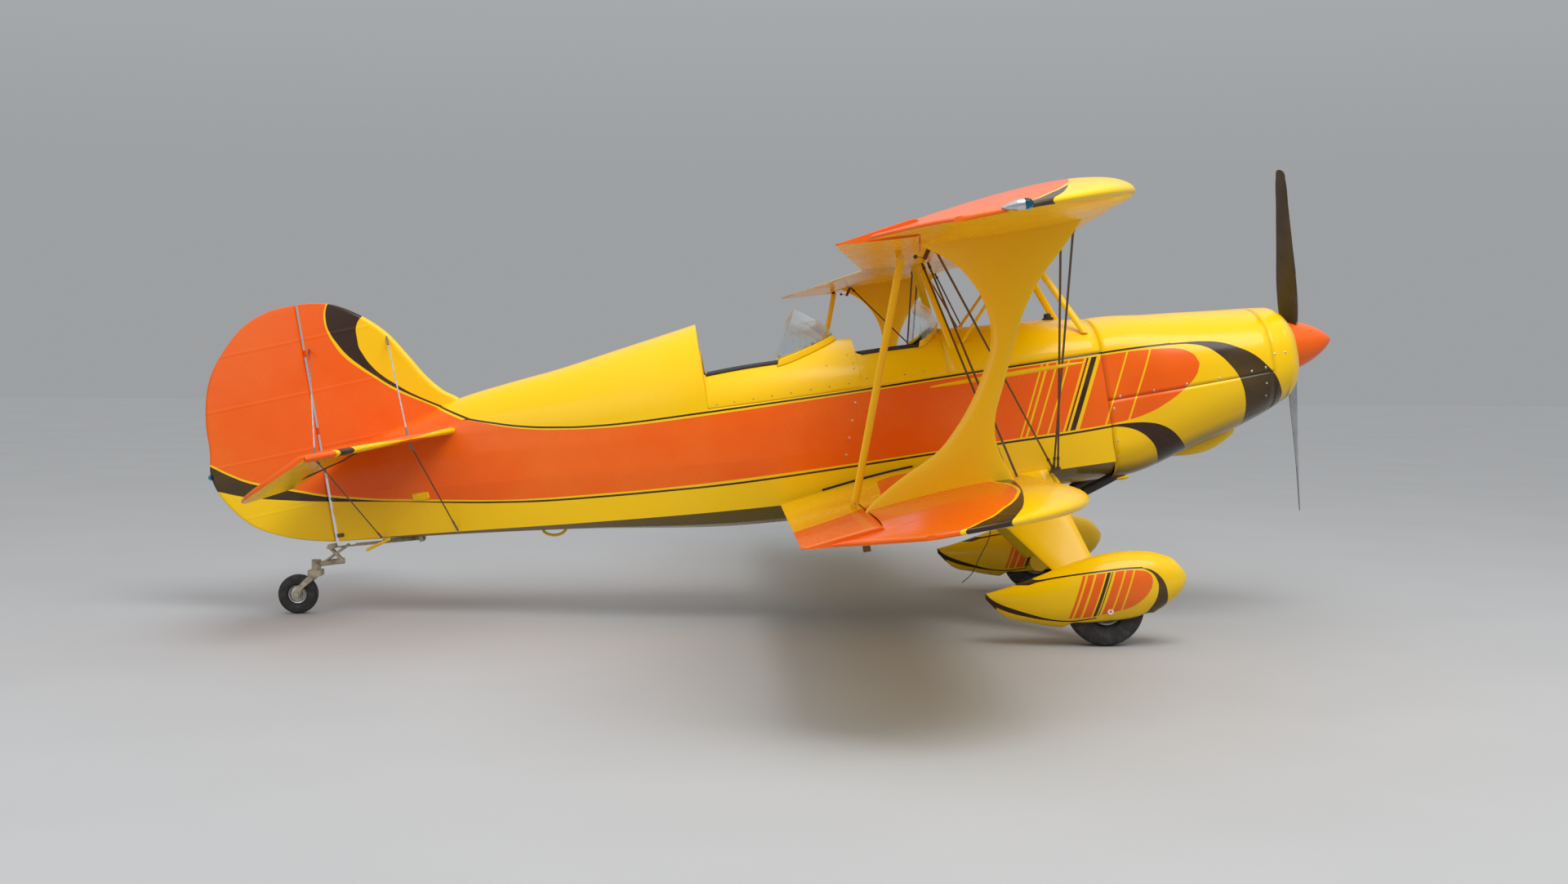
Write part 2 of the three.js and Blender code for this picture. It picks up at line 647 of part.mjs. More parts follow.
function flatTail(points, thickness, rim) {
  const shape = new THREE.Shape(points.map(([x, y]) => new THREE.Vector2(x, y)));
  const geometry = new THREE.ExtrudeGeometry(shape, {
    depth: thickness - 2 * rim, bevelEnabled: true, bevelThickness: rim, bevelSize: rim,
    bevelOffset: -rim, bevelSegments: 2,
  });
  geometry.translate(0, 0, tailHeight - thickness / 2 + rim);
  return toSolid(geometry);
}

function addTail() {
  const rearEdge = elevatorHinge + tailThickness / 2 + runningGap;
  for (const [word, side] of sides) {
    const { rootX, tipX, tipY, endY } = tailplane;
    const corner = smooth([[tipX, tipY], [-3400, endY - 40], [rearEdge, endY]], 6);
    const outline = [[rearEdge, 0], [rootX, 0], [rootX - 25, 130], ...corner];
    const half = flatTail(outline.map(([x, y]) => [x, side * y]), tailThickness, 5)
      .subtract(hull(stern, rearBulkhead, gap, gap))
      .subtract(deck(deckTops, deckTops[0][0] - gap, rearBulkhead, gap, 0))
      .subtract(box(stern, -3300, -finThickness / 2 - gap, finThickness / 2 + gap, 1300, 1600));
    const tabs = elevatorTabs.map((y) => box(
      elevatorHinge + 17 + gap, rearEdge + 12, side * y - 10, side * y + 10, tailHeight - 6, tailHeight + 6,
    ));
    add(`tailplane_${word}`, join([largest(half), ...tabs]), orange);
  }
  addElevators();
}

function addElevators() {
  const { innerY, innerAftY, outerY } = elevator;
  const aft = elevatorHinge - elevator.chord;
  const halves = sides.map(([, side]) => {
    const rim = [
      [elevatorHinge, outerY], [elevatorHinge - 150, outerY - 6], [aft + 60, outerY - 70],
      [aft, outerY - 190],
    ];
    const outer = smooth(rim, 8);
    const outline = [...outer, [aft, innerAftY], [elevatorHinge - 110, innerY], [elevatorHinge, innerY]];
    const flat = flatTail(outline.map(([x, y]) => [x, side * y]), tailThickness, 5);
    const ends = [innerY, outerY].map((y) => v(elevatorHinge, side * y, tailHeight));
    const nose = rod(ends[0], ends[1], 17, 14);
    return flat.add(nose);
  });
  const reach = innerY + 5;
  const tube = rod(v(elevatorHinge, -reach, tailHeight), v(elevatorHinge, reach, tailHeight), 15, 12);
  const mesh = add('elevators', join([...halves, tube]), orange);
  mesh.geometry.translate(-elevatorHinge, 0, -tailHeight);
  mesh.position.set(elevatorHinge, 0, tailHeight);
  mesh.rotation.y = -elevatorDroop;
}

// Main gear leg: a covered V from the lower longeron down to the axle
const axle = v(wheel.radius * Math.sin(attitude), wheel.track, wheel.radius * Math.cos(attitude));
const legTop = { rear: -490, front: -36, y: 352, z: 800 };
const legFoot = { rear: -50, front: 90, y: 832, z: 215 };

function addGear() {
  const thickness = 34;
  for (const [word, side] of sides) {
    const ring = ({ rear, front, y, z }) => [
      v(front, side * y, z),
      v(front - 40, side * (y + thickness / 2), z),
      v(rear + 60, side * (y + thickness / 2), z),
      v(rear, side * y, z),
      v(rear + 60, side * (y - thickness / 2), z),
      v(front - 40, side * (y - thickness / 2), z),
    ];
    const leg = loft([ring(legTop), ring(legFoot)]).subtract(hull(-1700, firewall, gap));
    const lowerWing = wing(lower, side, gap, lower.root - gap);
    const pinEnd = v(axle.x, side * (wheel.track + 50), axle.z);
    const pin = rod(v(axle.x, side * 838, axle.z), pinEnd, wheel.bore, 16);
    const knuckle = rod(v(axle.x, side * 822, axle.z), v(axle.x, side * 846, axle.z), 52, 16);
    add(`gear_leg_${word}`, largest(join([leg.subtract(lowerWing), pin, knuckle])), yellow);
    addPant(word, side);
  }
  addMainWheels();
}

// Wheel pant. Columns: x, top, bottom, half width
const pantStations = [
  [-515, 327, 300, 8], [-460, 333, 225, 34], [-335, 352, 165, 76], [-143, 392, 107, 112], [0, 417, 94, 124],
  [190, 415, 98, 125], [317, 383, 147, 105], [390, 335, 193, 72], [428, 272, 240, 22],
];
const pantWall = 8;

function pantBody(side, shrink, from, to) {
  const ring = (x) => {
    const [, top, bottom, half] = read(pantStations, x);
    const [height, middle] = [(top - bottom) / 2 - shrink, (top + bottom) / 2];
    return Array.from({ length: 14 }, (_, i) => {
      const angle = (2 * Math.PI * i) / 14;
      const part = (value) => Math.sign(value) * Math.abs(value) ** 0.85;
      const y = side * wheel.track + (half - shrink) * part(Math.cos(angle));
      return v(x, y, middle + height * part(Math.sin(angle)));
    });
  };
  return loft(stationsBetween([pantStations], from, to).map(ring));
}

function addPant(word, side) {
  const shell = pantBody(side, 0, pantStations[0][0], pantStations.at(-1)[0])
    .subtract(pantBody(side, pantWall, -230, 330));
  const slot = box(-185, 245, side * wheel.track - 84, side * wheel.track + 84, 0, 175);
  const wheelMiddle = v(axle.x, side * wheel.track, axle.z);
  const clear = rod(v(axle.x, side * 800, axle.z), wheelMiddle, wheel.bore + gap, 16);
  const knuckleRoom = rod(v(axle.x, side * 800, axle.z), v(axle.x, side * (846 + gap), axle.z), 60, 16);
  add(`wheel_pant_${word}`, largest(shell.subtract(slot).subtract(clear).subtract(knuckleRoom)), yellow);
}

// A tyre or rim turned about y. The flat of the faceted tread lies on the ground
function turned(profile, segments) {
  const geometry = new THREE.LatheGeometry(profile.map(([r, y]) => new THREE.Vector2(r, y)), segments);
  geometry.rotateY(Math.PI / segments);
  return toSolid(geometry);
}

function wheelPair(name, size, x, y, flangeHalf) {
  const segments = 24;
  const outer = size.radius / Math.cos(Math.PI / segments);
  const half = size.width / 2;
  const tread = [[size.rim, -half * 0.7], [(size.rim + outer) / 2, -half], [outer * 0.94, -half * 0.84],
    [outer, -half * 0.42]];
  const tyreProfile = [...tread, ...tread.map(([r, z]) => [r, -z]).reverse()];
  tyreProfile.push(tyreProfile[0]);
  const rimRadius = size.rim - gap;
  const rimProfile = [[size.bore + gap, -flangeHalf], [rimRadius, -half * 0.6], [rimRadius, half * 0.6],
    [size.bore + gap, flangeHalf], [size.bore + gap, -flangeHalf]];
  const tyre = add(`${name}_tyre`, turned(tyreProfile, segments), rubber, ground);
  const rim = add(`${name}_rim`, turned(rimProfile, segments), steel, ground);
  for (const mesh of [tyre, rim]) mesh.position.set(x, y, size.radius);
}

function addMainWheels() {
  for (const [word, side] of sides) wheelPair(`main_wheel_${word}`, wheel, 0, side * wheel.track, 46);
}

// Airframe position of a point given in the ground frame
const toAirframe = (p) => p.clone().applyAxisAngle(v(0, 1, 0), attitude);

function addTailWheel() {
  wheelPair('tail_wheel', tailWheel, tailWheel.x, 0, 22);
  const { pivotX, headBottom } = tailWheel;
  const leaf = plate([[-3205, 926], [-3205, 942], [-3707, 974], [-3707, 962]], 0, 44, 0);
  const head = rod(toAirframe(v(pivotX, 0, headBottom)), toAirframe(v(pivotX, 0, headBottom + 52)), 24, 16);
  const headCentre = toAirframe(v(pivotX, 0, headBottom + 28));
  const knee = v(-3640, 0, 884);
  const bars = [-1, 1].flatMap((side) => [
    rod(v(-3696, side * 16, 968), v(knee.x, side * 12, knee.z), 7, 8),
    rod(v(-3596, side * 16, 962), v(-3752, side * 8, 884), 7, 8),
  ]);
  const arm = rod(v(knee.x + 8, 0, knee.z), headCentre, 15, 10);
  const spring = join([leaf, head, arm, ...bars]).subtract(hull(stern, rearBulkhead, gap));
  add('tail_spring', largest(spring), beige);
  addTailFork();
}

function addTailFork() {
  const { x, radius, pivotX, bore, headBottom } = tailWheel;
  const crown = box(pivotX - 34, pivotX + 30, -48, 48, headBottom - gap - 30, headBottom - gap);
  const arms = [-1, 1].map((side) => {
    const [near, far] = [side * 38, side * 46];
    const ring = (cx, cz, half) => [
      v(cx - half, near, cz), v(cx + half, near, cz), v(cx + half, far, cz), v(cx - half, far, cz),
    ];
    return loft([ring(x, radius - 18, 16), ring(x, radius + 14, 18), ring(pivotX, headBottom - 20, 24)]);
  });
  const pin = rod(v(x, -46, radius), v(x, 46, radius), bore, 12);
  add('tail_fork', join([crown, ...arms, pin]), beige, ground);
}

// Propeller blade. Columns: radius, chord, thickness, pitch in degrees
const bladeStations = [
  [45, 50, 44, 55], [135, 106, 30, 40], [300, 130, 20, 34], [520, 118, 14, 26], [740, 98, 10, 20],
  [880, 80, 7, 17], [925, 52, 5, 16],
];

function propellerBlade(direction, grow) {
  const rings = bladeStations.map(([r, length, thick, pitch]) => {
    const turn = deg(pitch);
    const chordAxis = v(Math.sin(turn), -direction * Math.cos(turn), 0);
    const thickAxis = v(Math.cos(turn), direction * Math.sin(turn), 0);
    return Array.from({ length: 10 }, (_, i) => {
      const angle = (2 * Math.PI * i) / 10;
      return v(0, 0, direction * r)
        .addScaledVector(chordAxis, (length / 2 + grow) * Math.cos(angle))
        .addScaledVector(thickAxis, (thick / 2 + grow) * Math.sin(angle));
    });
  });
  return loft(rings);
}

function addPropeller() {
  const blades = (grow) => propellerBlade(1, grow).add(propellerBlade(-1, grow));
  const hub = rod(v(propeller.hubRear, 0, 0), v(propeller.hubFront, 0, 0), propeller.hub, 20);
  const spin = new THREE.Group();
  spin.position.set(propeller.x, 0, thrustHeight);
  spin.rotation.x = propeller.lean;
  airframe.add(spin);
  add('propeller', blades(0).add(hub), brown, spin);

  const { back, length, radius } = spinner;
  const profile = [new THREE.Vector2(0, 0)];
  for (const t of [0, 0.15, 0.35, 0.55, 0.75, 0.9, 1]) {
    profile.push(new THREE.Vector2(radius * (1 - t ** 1.7) ** 0.85, t * length));
  }
  const geometry = new THREE.LatheGeometry(profile, 24);
  geometry.rotateZ(-Math.PI / 2);
  geometry.translate(back - propeller.x, 0, 0);
  const hubRoom = rod(v(-60, 0, 0), v(propeller.hubFront + gap, 0, 0), propeller.hub + gap + 0.8, 20);
  add('spinner', toSolid(geometry).subtract(blades(3)).subtract(hubRoom), orange, spin);
}

// Windshields. Columns: base front x, base rear x, top x, top height, half width
const windshields = [
  ['rear_windshield', -975, -1300, -1150, 1790, 298],
  ['front_windshield', -437, -560, -515, 1732, 292],
];

function addWindshields() {
  const skin = deck(coamingTops, rearBulkhead, firewall, gap);
  for (const [name, front, rear, topX, topZ, half] of windshields) {
    const section = (angle, shrink) => {
      const [s, c] = [Math.sin(angle), Math.cos(angle)];
      const base = v(rear + (front - rear) * c - shrink, (half - shrink) * s, 1480);
      const lift = Math.max(c, 0) ** 0.7;
      const [topY, height] = [(half - shrink) * s * 0.96, 1552 + (topZ - 1552) * lift];
      return [base, v(rear + (topX - rear) * c - shrink, topY, height)];
    };
    const rings = [];
    for (let i = 0; i <= 14; i += 1) {
      const angle = ((i - 7) / 7) * deg(84);
      const [outerBase, outerTop] = section(angle, 0);
      const [innerBase, innerTop] = section(angle, 5);
      rings.push([outerBase, outerTop, innerTop, innerBase]);
    }
    add(name, largest(loft(rings).subtract(skin)), glass);
  }
}

// Cockpits. Columns: prefix, seat back x, panel x, floor height
const cockpits = [['rear', -1600, -1085, 860], ['front', -885, -505, 850]];

function addCockpits() {
  for (const [word, backX, panelX, floor] of cockpits) {
    const cushion = box(backX + 10, backX + 350, -205, 205, floor + 60, floor + 150);
    const legs = box(backX + 60, backX + 300, -150, 150, 700, floor + 62);
    const rest = loft([[backX + 10, backX + 90, floor + 140], [backX - 20, backX + 40, floor + 560]].map(
      ([x0, x1, z]) => [v(x0, -200, z), v(x1, -200, z), v(x1, 200, z), v(x0, 200, z)],
    ));
    const room = hull(rearBulkhead + tubWall, firewall - tubWall, -tubWall - gap, 90);
    add(`${word}_seat`, largest(join([cushion, legs, rest]).intersect(room)), leather);

    const inside = deck(coamingTops, rearBulkhead, firewall, -deckWall - gap, -60)
      .subtract(hull(rearBulkhead, firewall, 5, gap))
      .add(hull(rearBulkhead + tubWall, firewall - tubWall, -tubWall - gap, 2));
    const panel = box(panelX, panelX + 14, -340, 340, 1290, 1700).intersect(inside);
    add(`${word}_panel`, largest(panel), black);

    const stick = rod(v(backX + 390, 0, 700), v(backX + 360, 0, floor + 320), 13, 10)
      .add(rod(v(backX + 362, 0, floor + 300), v(backX + 354, 0, floor + 400), 18, 10));
    add(`${word}_stick`, largest(stick.intersect(room)), black);
  }
}

// Grab handle under the rear fuselage
function addHandle() {
  const bow = new THREE.CatmullRomCurve3([
    v(-2606, 0, 900), v(-2596, 0, 862), v(-2542, 0, 838), v(-2488, 0, 856), v(-2477, 0, 890),
  ]);
  const circle = new THREE.Shape().absarc(0, 0, 7, 0, 2 * Math.PI);
  const geometry = new THREE.ExtrudeGeometry(circle, { steps: 12, extrudePath: bow, curveSegments: 4 });
  add('grab_handle', largest(toSolid(geometry).subtract(hull(stern, rearBulkhead, gap))), yellow);
}

addFuselage();
addCowl();
addWings();
addCabanes();
addBracing();
addFinAndRudder();
addTail();
addGear();
addTailWheel();
addPropeller();
addWindshields();
addCockpits();
addHandle();

// The finished object stands with the middle of its bounding box over the origin
const aircraft = new THREE.Group();
const placed = new THREE.Group();
placed.add(airframe, ground);
placed.updateMatrixWorld(true);
const bounds = new THREE.Box3().setFromObject(placed, true);
const middle = bounds.getCenter(v(0, 0, 0));
placed.position.set(-middle.x, 0, -bounds.min.z);
aircraft.add(placed);

export default aircraft;
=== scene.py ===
import math

import bmesh
import bpy
import numpy as np
from mathutils import Matrix, Vector


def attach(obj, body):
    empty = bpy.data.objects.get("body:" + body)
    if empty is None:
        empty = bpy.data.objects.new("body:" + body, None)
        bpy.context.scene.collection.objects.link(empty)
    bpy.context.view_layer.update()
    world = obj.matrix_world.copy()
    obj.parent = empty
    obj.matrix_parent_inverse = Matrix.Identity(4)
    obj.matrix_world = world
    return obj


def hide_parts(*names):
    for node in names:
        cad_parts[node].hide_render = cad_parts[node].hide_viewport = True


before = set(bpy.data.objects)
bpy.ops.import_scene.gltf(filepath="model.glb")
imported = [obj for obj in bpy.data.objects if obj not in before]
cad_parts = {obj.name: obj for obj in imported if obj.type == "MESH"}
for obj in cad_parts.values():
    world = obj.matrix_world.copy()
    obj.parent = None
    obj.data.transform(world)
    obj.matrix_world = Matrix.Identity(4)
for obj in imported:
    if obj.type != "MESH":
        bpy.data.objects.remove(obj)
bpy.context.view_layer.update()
print("frame loaded")

stance = {"noseUp": 9.5, "forward": 1.533647}  # degrees, and where the wheels stand in the row frame
noseUp = math.radians(stance["noseUp"])
airAxes = np.array([
    [math.cos(noseUp), 0, -math.sin(noseUp)],
    [0, 1, 0],
    [math.sin(noseUp), 0, math.cos(noseUp)],
])
sides = [("right", -1), ("left", 1)]


# Airframe axes to the row frame: turned nose-up about the wheels, then moved forward
def airToRow(points):
    return np.asarray(points, float) @ airAxes.T + [stance["forward"], 0, 0]


# Ground axes to the row frame: moved forward only
def groundToRow(points):
    return np.asarray(points, float) + [stance["forward"], 0, 0]


# Ground axes to airframe axes: turned level about the wheels
def groundToAir(points):
    return np.asarray(points, float) @ airAxes


# Cubic through a table's rows, whose first column is the way along; slopes come from the neighbours
def smoothRead(table, at):
    table, at = np.asarray(table, float), np.atleast_1d(np.asarray(at, float))
    knots, values = table[:, 0], table[:, 1:]
    slopes = np.gradient(values, knots, axis=0)
    i = np.clip(np.searchsorted(knots, at) - 1, 0, len(knots) - 2)
    step = (knots[i + 1] - knots[i])[:, None]
    t = np.clip((at[:, None] - knots[i][:, None]) / step, 0, 1)
    a, b = values[i], values[i + 1]
    ma, mb = slopes[i] * step, slopes[i + 1] * step
    return ((2 * t**3 - 3 * t**2 + 1) * a + (t**3 - 2 * t**2 + t) * ma
            + (3 * t**2 - 2 * t**3) * b + (t**3 - t**2) * mb)


# Even steps along a line through the points, smooth or straight from one point to the next
def alongLine(points, count, smooth=True):
    points = np.asarray(points, float)
    way = np.concatenate([[0], np.cumsum(np.linalg.norm(np.diff(points, axis=0), axis=1))])
    steps = np.linspace(0, way[-1], count)
    if smooth:
        return smoothRead(np.column_stack([way, points]), steps)
    return np.stack([np.interp(steps, way, column) for column in points.T], -1)


# Even places from start to end, about a step apart, with the extra ones that lie between them
def stationsBetween(start, end, step, extra=()):
    count = max(2, int(round(abs(end - start) / step)) + 1)
    inner = [x for x in extra if min(start, end) < x < max(start, end)]
    return np.unique(np.concatenate([np.linspace(start, end, count), inner]))


# Shares of the way from 0 to 1, closer together at both ends
def cosineShares(count):
    return (1 - np.cos(np.linspace(0, np.pi, count))) / 2


# Even angles round a full turn
def fullTurn(count):
    return np.linspace(0, 2 * np.pi, count, endpoint=False)


# Columns of a table as upright arrays, to be combined with a row of angles or shares
def upright(columns):
    return (column[:, None] for column in columns)


# Four-sided faces over a grid of rows and columns; around joins the last column to the first
def gridFaces(rows, columns, around=True):
    i, j = np.meshgrid(np.arange(rows - 1), np.arange(columns if around else columns - 1), indexing="ij")
    k = (j + 1) % columns
    quads = np.stack([i * columns + j, i * columns + k, (i + 1) * columns + k, (i + 1) * columns + j], -1)
    return quads.reshape(-1, 4).tolist()


# A sheet over a grid of points, with a face over each end if it is closed
def sheetSkin(grid, around=False, closed=False):
    rows, columns = grid.shape[:2]
    ends = [list(range(columns - 1, -1, -1)), list(range((rows - 1) * columns, rows * columns))]
    return grid.reshape(-1, 3), gridFaces(rows, columns, around) + (ends if closed else [])


# A closed skin over rings of points
def ringSkin(grid):
    return sheetSkin(grid, True, True)


# Several skins as one set of points and faces
def together(*parts):
    points, faces = [], []
    for some, their in parts:
        first = sum(len(p) for p in points)
        points.append(np.asarray(some, float))
        faces += [[i + first for i in face] for face in their]
    return np.vstack(points), faces


# The same skin, or its mirror image on the right
def onSide(skin, side):
    return skin[0] * np.array([1, side, 1]), skin[1]


# A round bar along a line of points: a ring of the given radius square to the line at each point
def barAlong(points, radius, count=12):
    points = np.asarray(points, float)
    radii = np.broadcast_to(np.asarray(radius, float), len(points))
    along = np.gradient(points, axis=0)
    along /= np.linalg.norm(along, axis=1)[:, None]
    last = np.array([0, 0, 1.0]) if abs(along[0][2]) < 0.9 else np.array([1.0, 0, 0])
    aside = np.empty_like(points)
    for i, direction in enumerate(along):
        last = last - direction * (last @ direction)
        last = last / np.linalg.norm(last)
        aside[i] = last
    third = np.cross(along, aside)
    turn = fullTurn(count)[None, :, None]
    ring = np.cos(turn) * aside[:, None] + np.sin(turn) * third[:, None]
    return points[:, None] + ring * radii[:, None, None]


# A round bar from one point to another
def straightBar(start, end, radius, count=12):
    return ringSkin(barAlong(np.linspace(start, end, 3), radius, count))


# A pin across the airframe: a bar along y, half on each side of its middle
def crossPin(middle, half, radius, count=12):
    return straightBar(np.array(middle) - [0, half, 0], np.array(middle) + [0, half, 0], radius, count)


# A streamlined bar: an ellipse, long along x, carried along straight from one point to another
def ovalBar(start, end, depth, width, count=20, rows=4):
    turn = fullTurn(count)
    ring = np.stack([depth / 2 * np.cos(turn), width / 2 * np.sin(turn), 0 * turn], -1)
    return ringSkin(np.linspace(start, end, rows)[:, None] + ring[None])


# A box between two corners
def boxSkin(low, high):
    points = np.array([[x, y, z] for x in (low[0], high[0]) for y in (low[1], high[1])
                       for z in (low[2], high[2])])
    return points, [[0, 1, 3, 2], [4, 6, 7, 5], [0, 4, 5, 1], [2, 3, 7, 6], [0, 2, 6, 4], [1, 5, 7, 3]]


# A profile of radius and distance, turned about the y axis or, with along 0 or 2, the x or z axis
def turnedRings(profile, centre, count=64, along=1):
    turn, profile = fullTurn(count), np.asarray(profile, float)
    ring = [np.outer(profile[:, 0], np.cos(turn)), np.outer(profile[:, 0], np.sin(turn))]
    ring.insert(along, np.repeat(profile[:, 1:2], count, axis=1))
    return np.stack(ring, -1) + np.asarray(centre, float)


# Rows from a front point to a rear point and back: shares of the way, each half a thickness up and down
def ruledRings(front, rear, shares, half, up):
    front, rear = np.asarray(front, float), np.asarray(rear, float)
    middle = front[:, None] + shares[None, :, None] * (rear - front)[:, None]
    lift = np.broadcast_to(half, (len(front), len(shares)))[..., None] * np.asarray(up, float)
    return np.concatenate([middle + lift, (middle - lift)[:, ::-1]], axis=1)


# Half thickness along a chord: round at the front over one length and at the rear over another
def roundedHalf(shares, chord, half, front, rear, taper=0.0):
    chord, shares = np.asarray(chord)[:, None], shares[None, :]
    ahead = np.clip(shares * chord / front, 0, 1)
    behind = np.clip((1 - shares) * chord / rear, 0, 1) if rear else 1.0
    return half * (1 - taper * shares) * np.sqrt(1 - (1 - ahead) ** 2) * np.sqrt(1 - (1 - behind) ** 2)


# The mesh as an object in the row frame: doubles merged, faces outward, smooth but for the creases
def addPiece(name, skin, finish, body="airframe", standsFor=(), crease=32, slot=None, place=airToRow):
    points, faces = skin
    mesh = bpy.data.meshes.new(name)
    mesh.from_pydata(place(points).tolist(), [], faces)
    work = bmesh.new()
    work.from_mesh(mesh)
    bmesh.ops.remove_doubles(work, verts=work.verts, dist=2e-5)
    bmesh.ops.dissolve_degenerate(work, edges=work.edges, dist=2e-5)
    bmesh.ops.recalc_face_normals(work, faces=work.faces)
    work.to_mesh(mesh)
    work.free()
    mesh.shade_smooth()
    mesh.set_sharp_from_angle(angle=math.radians(crease))
    piece = bpy.data.objects.new(name, mesh)
    bpy.context.scene.collection.objects.link(piece)
    finishes = finish if isinstance(finish, list) else [finish]
    for one in finishes:
        mesh.materials.append(one)
    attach(piece, body)
    if standsFor:
        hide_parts(standsFor)
    slot = slot or slotOf.get(finishes[0].name)
    return piece


# The same piece on both sides; the names hold a gap for the side's word
def addPair(name, skin, finish, body="airframe", standsFor="", **more):
    return [addPiece(name.format(word), onSide(skin, side), finish, body=body.format(word),
                     standsFor=standsFor.format(word), **more) for word, side in sides]


# A sheet becomes a wall, moved by the offset from outside, -1, to inside, 1
def thicken(piece, depth, offset=-1.0):
    wall = piece.modifiers.new("wall", "SOLIDIFY")
    wall.thickness, wall.offset, wall.use_even_offset = depth, offset, True
    return piece


# Faces whose middle and outward direction, in the hull's own axes, pass the test take the second finish
def secondFinish(piece, test):
    faces = piece.data.polygons
    middles, outward = np.empty(len(faces) * 3), np.empty(len(faces) * 3)
    faces.foreach_get("center", middles)
    faces.foreach_get("normal", outward)
    at = (middles.reshape(-1, 3) - [stance["forward"], 0, 0]) @ airAxes
    faces.foreach_set("material_index", test(at, outward.reshape(-1, 3) @ airAxes).astype(np.int32))


fuselage = {
    # x, half width at the crease, belly, lower longeron, crease, upper longeron
    "stations": [
        [-3.640, 0.020, 0.985, 0.990, 1.215, 1.440], [-3.000, 0.150, 0.920, 0.945, 1.180, 1.420],
        [-2.400, 0.240, 0.848, 0.897, 1.146, 1.390], [-1.660, 0.332, 0.742, 0.846, 1.092, 1.362],
        [-0.950, 0.358, 0.700, 0.812, 1.052, 1.346], [-0.450, 0.364, 0.688, 0.797, 1.026, 1.341],
        [0.312, 0.366, 0.673, 0.780, 0.998, 1.3335],
    ],
    "upperCrease": 0.62,  # share of the way from the crease up to the longeron
    "stern": -3.64, "bulkhead": -1.66, "panelJoint": -0.45, "cowlJoint": 0.312,
    "metalFrom": -1.0,  # ahead of here smooth sheet covers the frame, behind it fabric on stringers
    "wall": 0.022, "deckWall": 0.006, "inset": 0.006,  # the decking starts this far inside the crease
}
# x, height of the decking's centre line
turtleTops = [[-3.395, 1.482], [-3.150, 1.548], [-2.920, 1.610], [-2.660, 1.648], [-2.400, 1.677],
              [-2.080, 1.727], [-1.660, 1.794]]
coamingTops = [[-1.660, 1.655], [-1.400, 1.647], [-1.200, 1.634], [-0.950, 1.602], [-0.700, 1.592],
               [-0.450, 1.576], [-0.280, 1.560], [0.000, 1.545], [0.312, 1.504]]
# From the bend forward an opening's edge is a quarter ellipse that keeps inside the windshield
openings = {
    "rear": {"rear": -1.655, "bend": -1.270, "front": -1.000, "half": 0.268, "corner": 0.012},
    "front": {"rear": -0.886, "bend": -0.570, "front": -0.466, "half": 0.264, "corner": 0.024},
}
openingRim = 0.009


# Half of the lower hull's cross-section from the longeron down to the belly, as (half width, height):
# straight lines between the corners, rounded off by repeated averaging where sheet metal covers them,
# all but the edge between side and belly
def hullSide(x, count=8):
    half, belly, low, crease, rail = smoothRead(fuselage["stations"], x).T
    corners = np.stack([np.stack(corner, -1) for corner in (
        (half - fuselage["inset"], rail), (half - 0.0005, crease + fuselage["upperCrease"] * (rail - crease)),
        (half, crease), (np.maximum(half - 0.026, half * 0.6), low),
        (half * 0.5, low + (belly - low) * 0.72), (half * 0, belly))], 1)
    share = np.linspace(0, 1, count, endpoint=False)[None, :, None]
    lines = [corners[:, k:k + 1] * (1 - share) + corners[:, k + 1:k + 2] * share for k in range(5)]
    side = np.concatenate(lines + [corners[:, -1:]], axis=1)
    metal = np.clip((x - fuselage["metalFrom"]) / 0.06, 0, 1)[:, None, None]
    ease = (0.01 + 0.99 * metal) * np.ones((1, side.shape[1] - 2, 1))
    ease[:, 3 * count - 1] = 0
    for _ in range(40):
        side[:, 1:-1] += ease * 0.5 * ((side[:, :-2] + side[:, 2:]) / 2 - side[:, 1:-1])
    return side


# The hull from one upper longeron down round the belly to the other, as rings of points open at the top
def hullRings(x):
    side = hullSide(x)
    right = np.stack([np.repeat(x[:, None], side.shape[1], 1), -side[..., 0], side[..., 1]], -1)
    return np.concatenate([right, right[:, -2::-1] * [1, -1, 1]], axis=1)


# Half width of the lower hull at pairs of x and height
def hullHalf(x, z):
    return np.array([np.interp(-height, -row[:, 1], row[:, 0]) for height, row in zip(z, hullSide(x))])


# Half width, longeron and top of the decking at x
def deckFacts(x, tops):
    stations = smoothRead(fuselage["stations"], x.ravel())
    return (stations[:, 0].reshape(x.shape) - fuselage["inset"], stations[:, 4].reshape(x.shape),
            smoothRead(tops, x.ravel())[:, 0].reshape(x.shape))


# A point of the decking: half an ellipse over the longerons, turned by angle from the right one
def deckPoint(x, angle, tops, grow=0.0):
    x, angle = np.broadcast_arrays(np.asarray(x, float), angle)
    half, rail, top = deckFacts(x, tops)
    return np.stack([x, -(half + grow) * np.cos(angle), rail + (top + grow - rail) * np.sin(angle)], -1)


# Half width of a cockpit opening at x: straight sides, small corners behind, a quarter ellipse in front
def openingHalf(opening, x):
    rear, bend, front, half, corner = (opening[key] for key in ("rear", "bend", "front", "half", "corner"))
    ahead = np.clip((x - bend) / (front - bend), 0, 1)
    behind = np.clip(rear + corner - x, 0, corner)
    wide = half * np.sqrt(1 - ahead**2) - corner + np.sqrt(corner**2 - behind**2)
    return np.where((x >= rear) & (x <= front), np.maximum(wide, 0), 0.0)


# Angle round the decking at which it is y away from the middle
def angleAt(x, y):
    return np.arccos(np.clip(y / deckFacts(x, coamingTops)[0], 0, 1))


# The decking's right half from the longeron up to the rim of an opening, or to the middle, and its mirror
def deckStrips(x, tops, columns=22, cockpit=True):
    rim = np.zeros_like(x)
    for opening in openings.values() if cockpit else ():
        rim = np.maximum(rim, openingHalf(opening, x))
    right = deckPoint(x[:, None], angleAt(x, rim)[:, None] * np.linspace(0, 1, columns)[None, :], tops)
    return together(sheetSkin(right), sheetSkin(right * [1, -1, 1]))


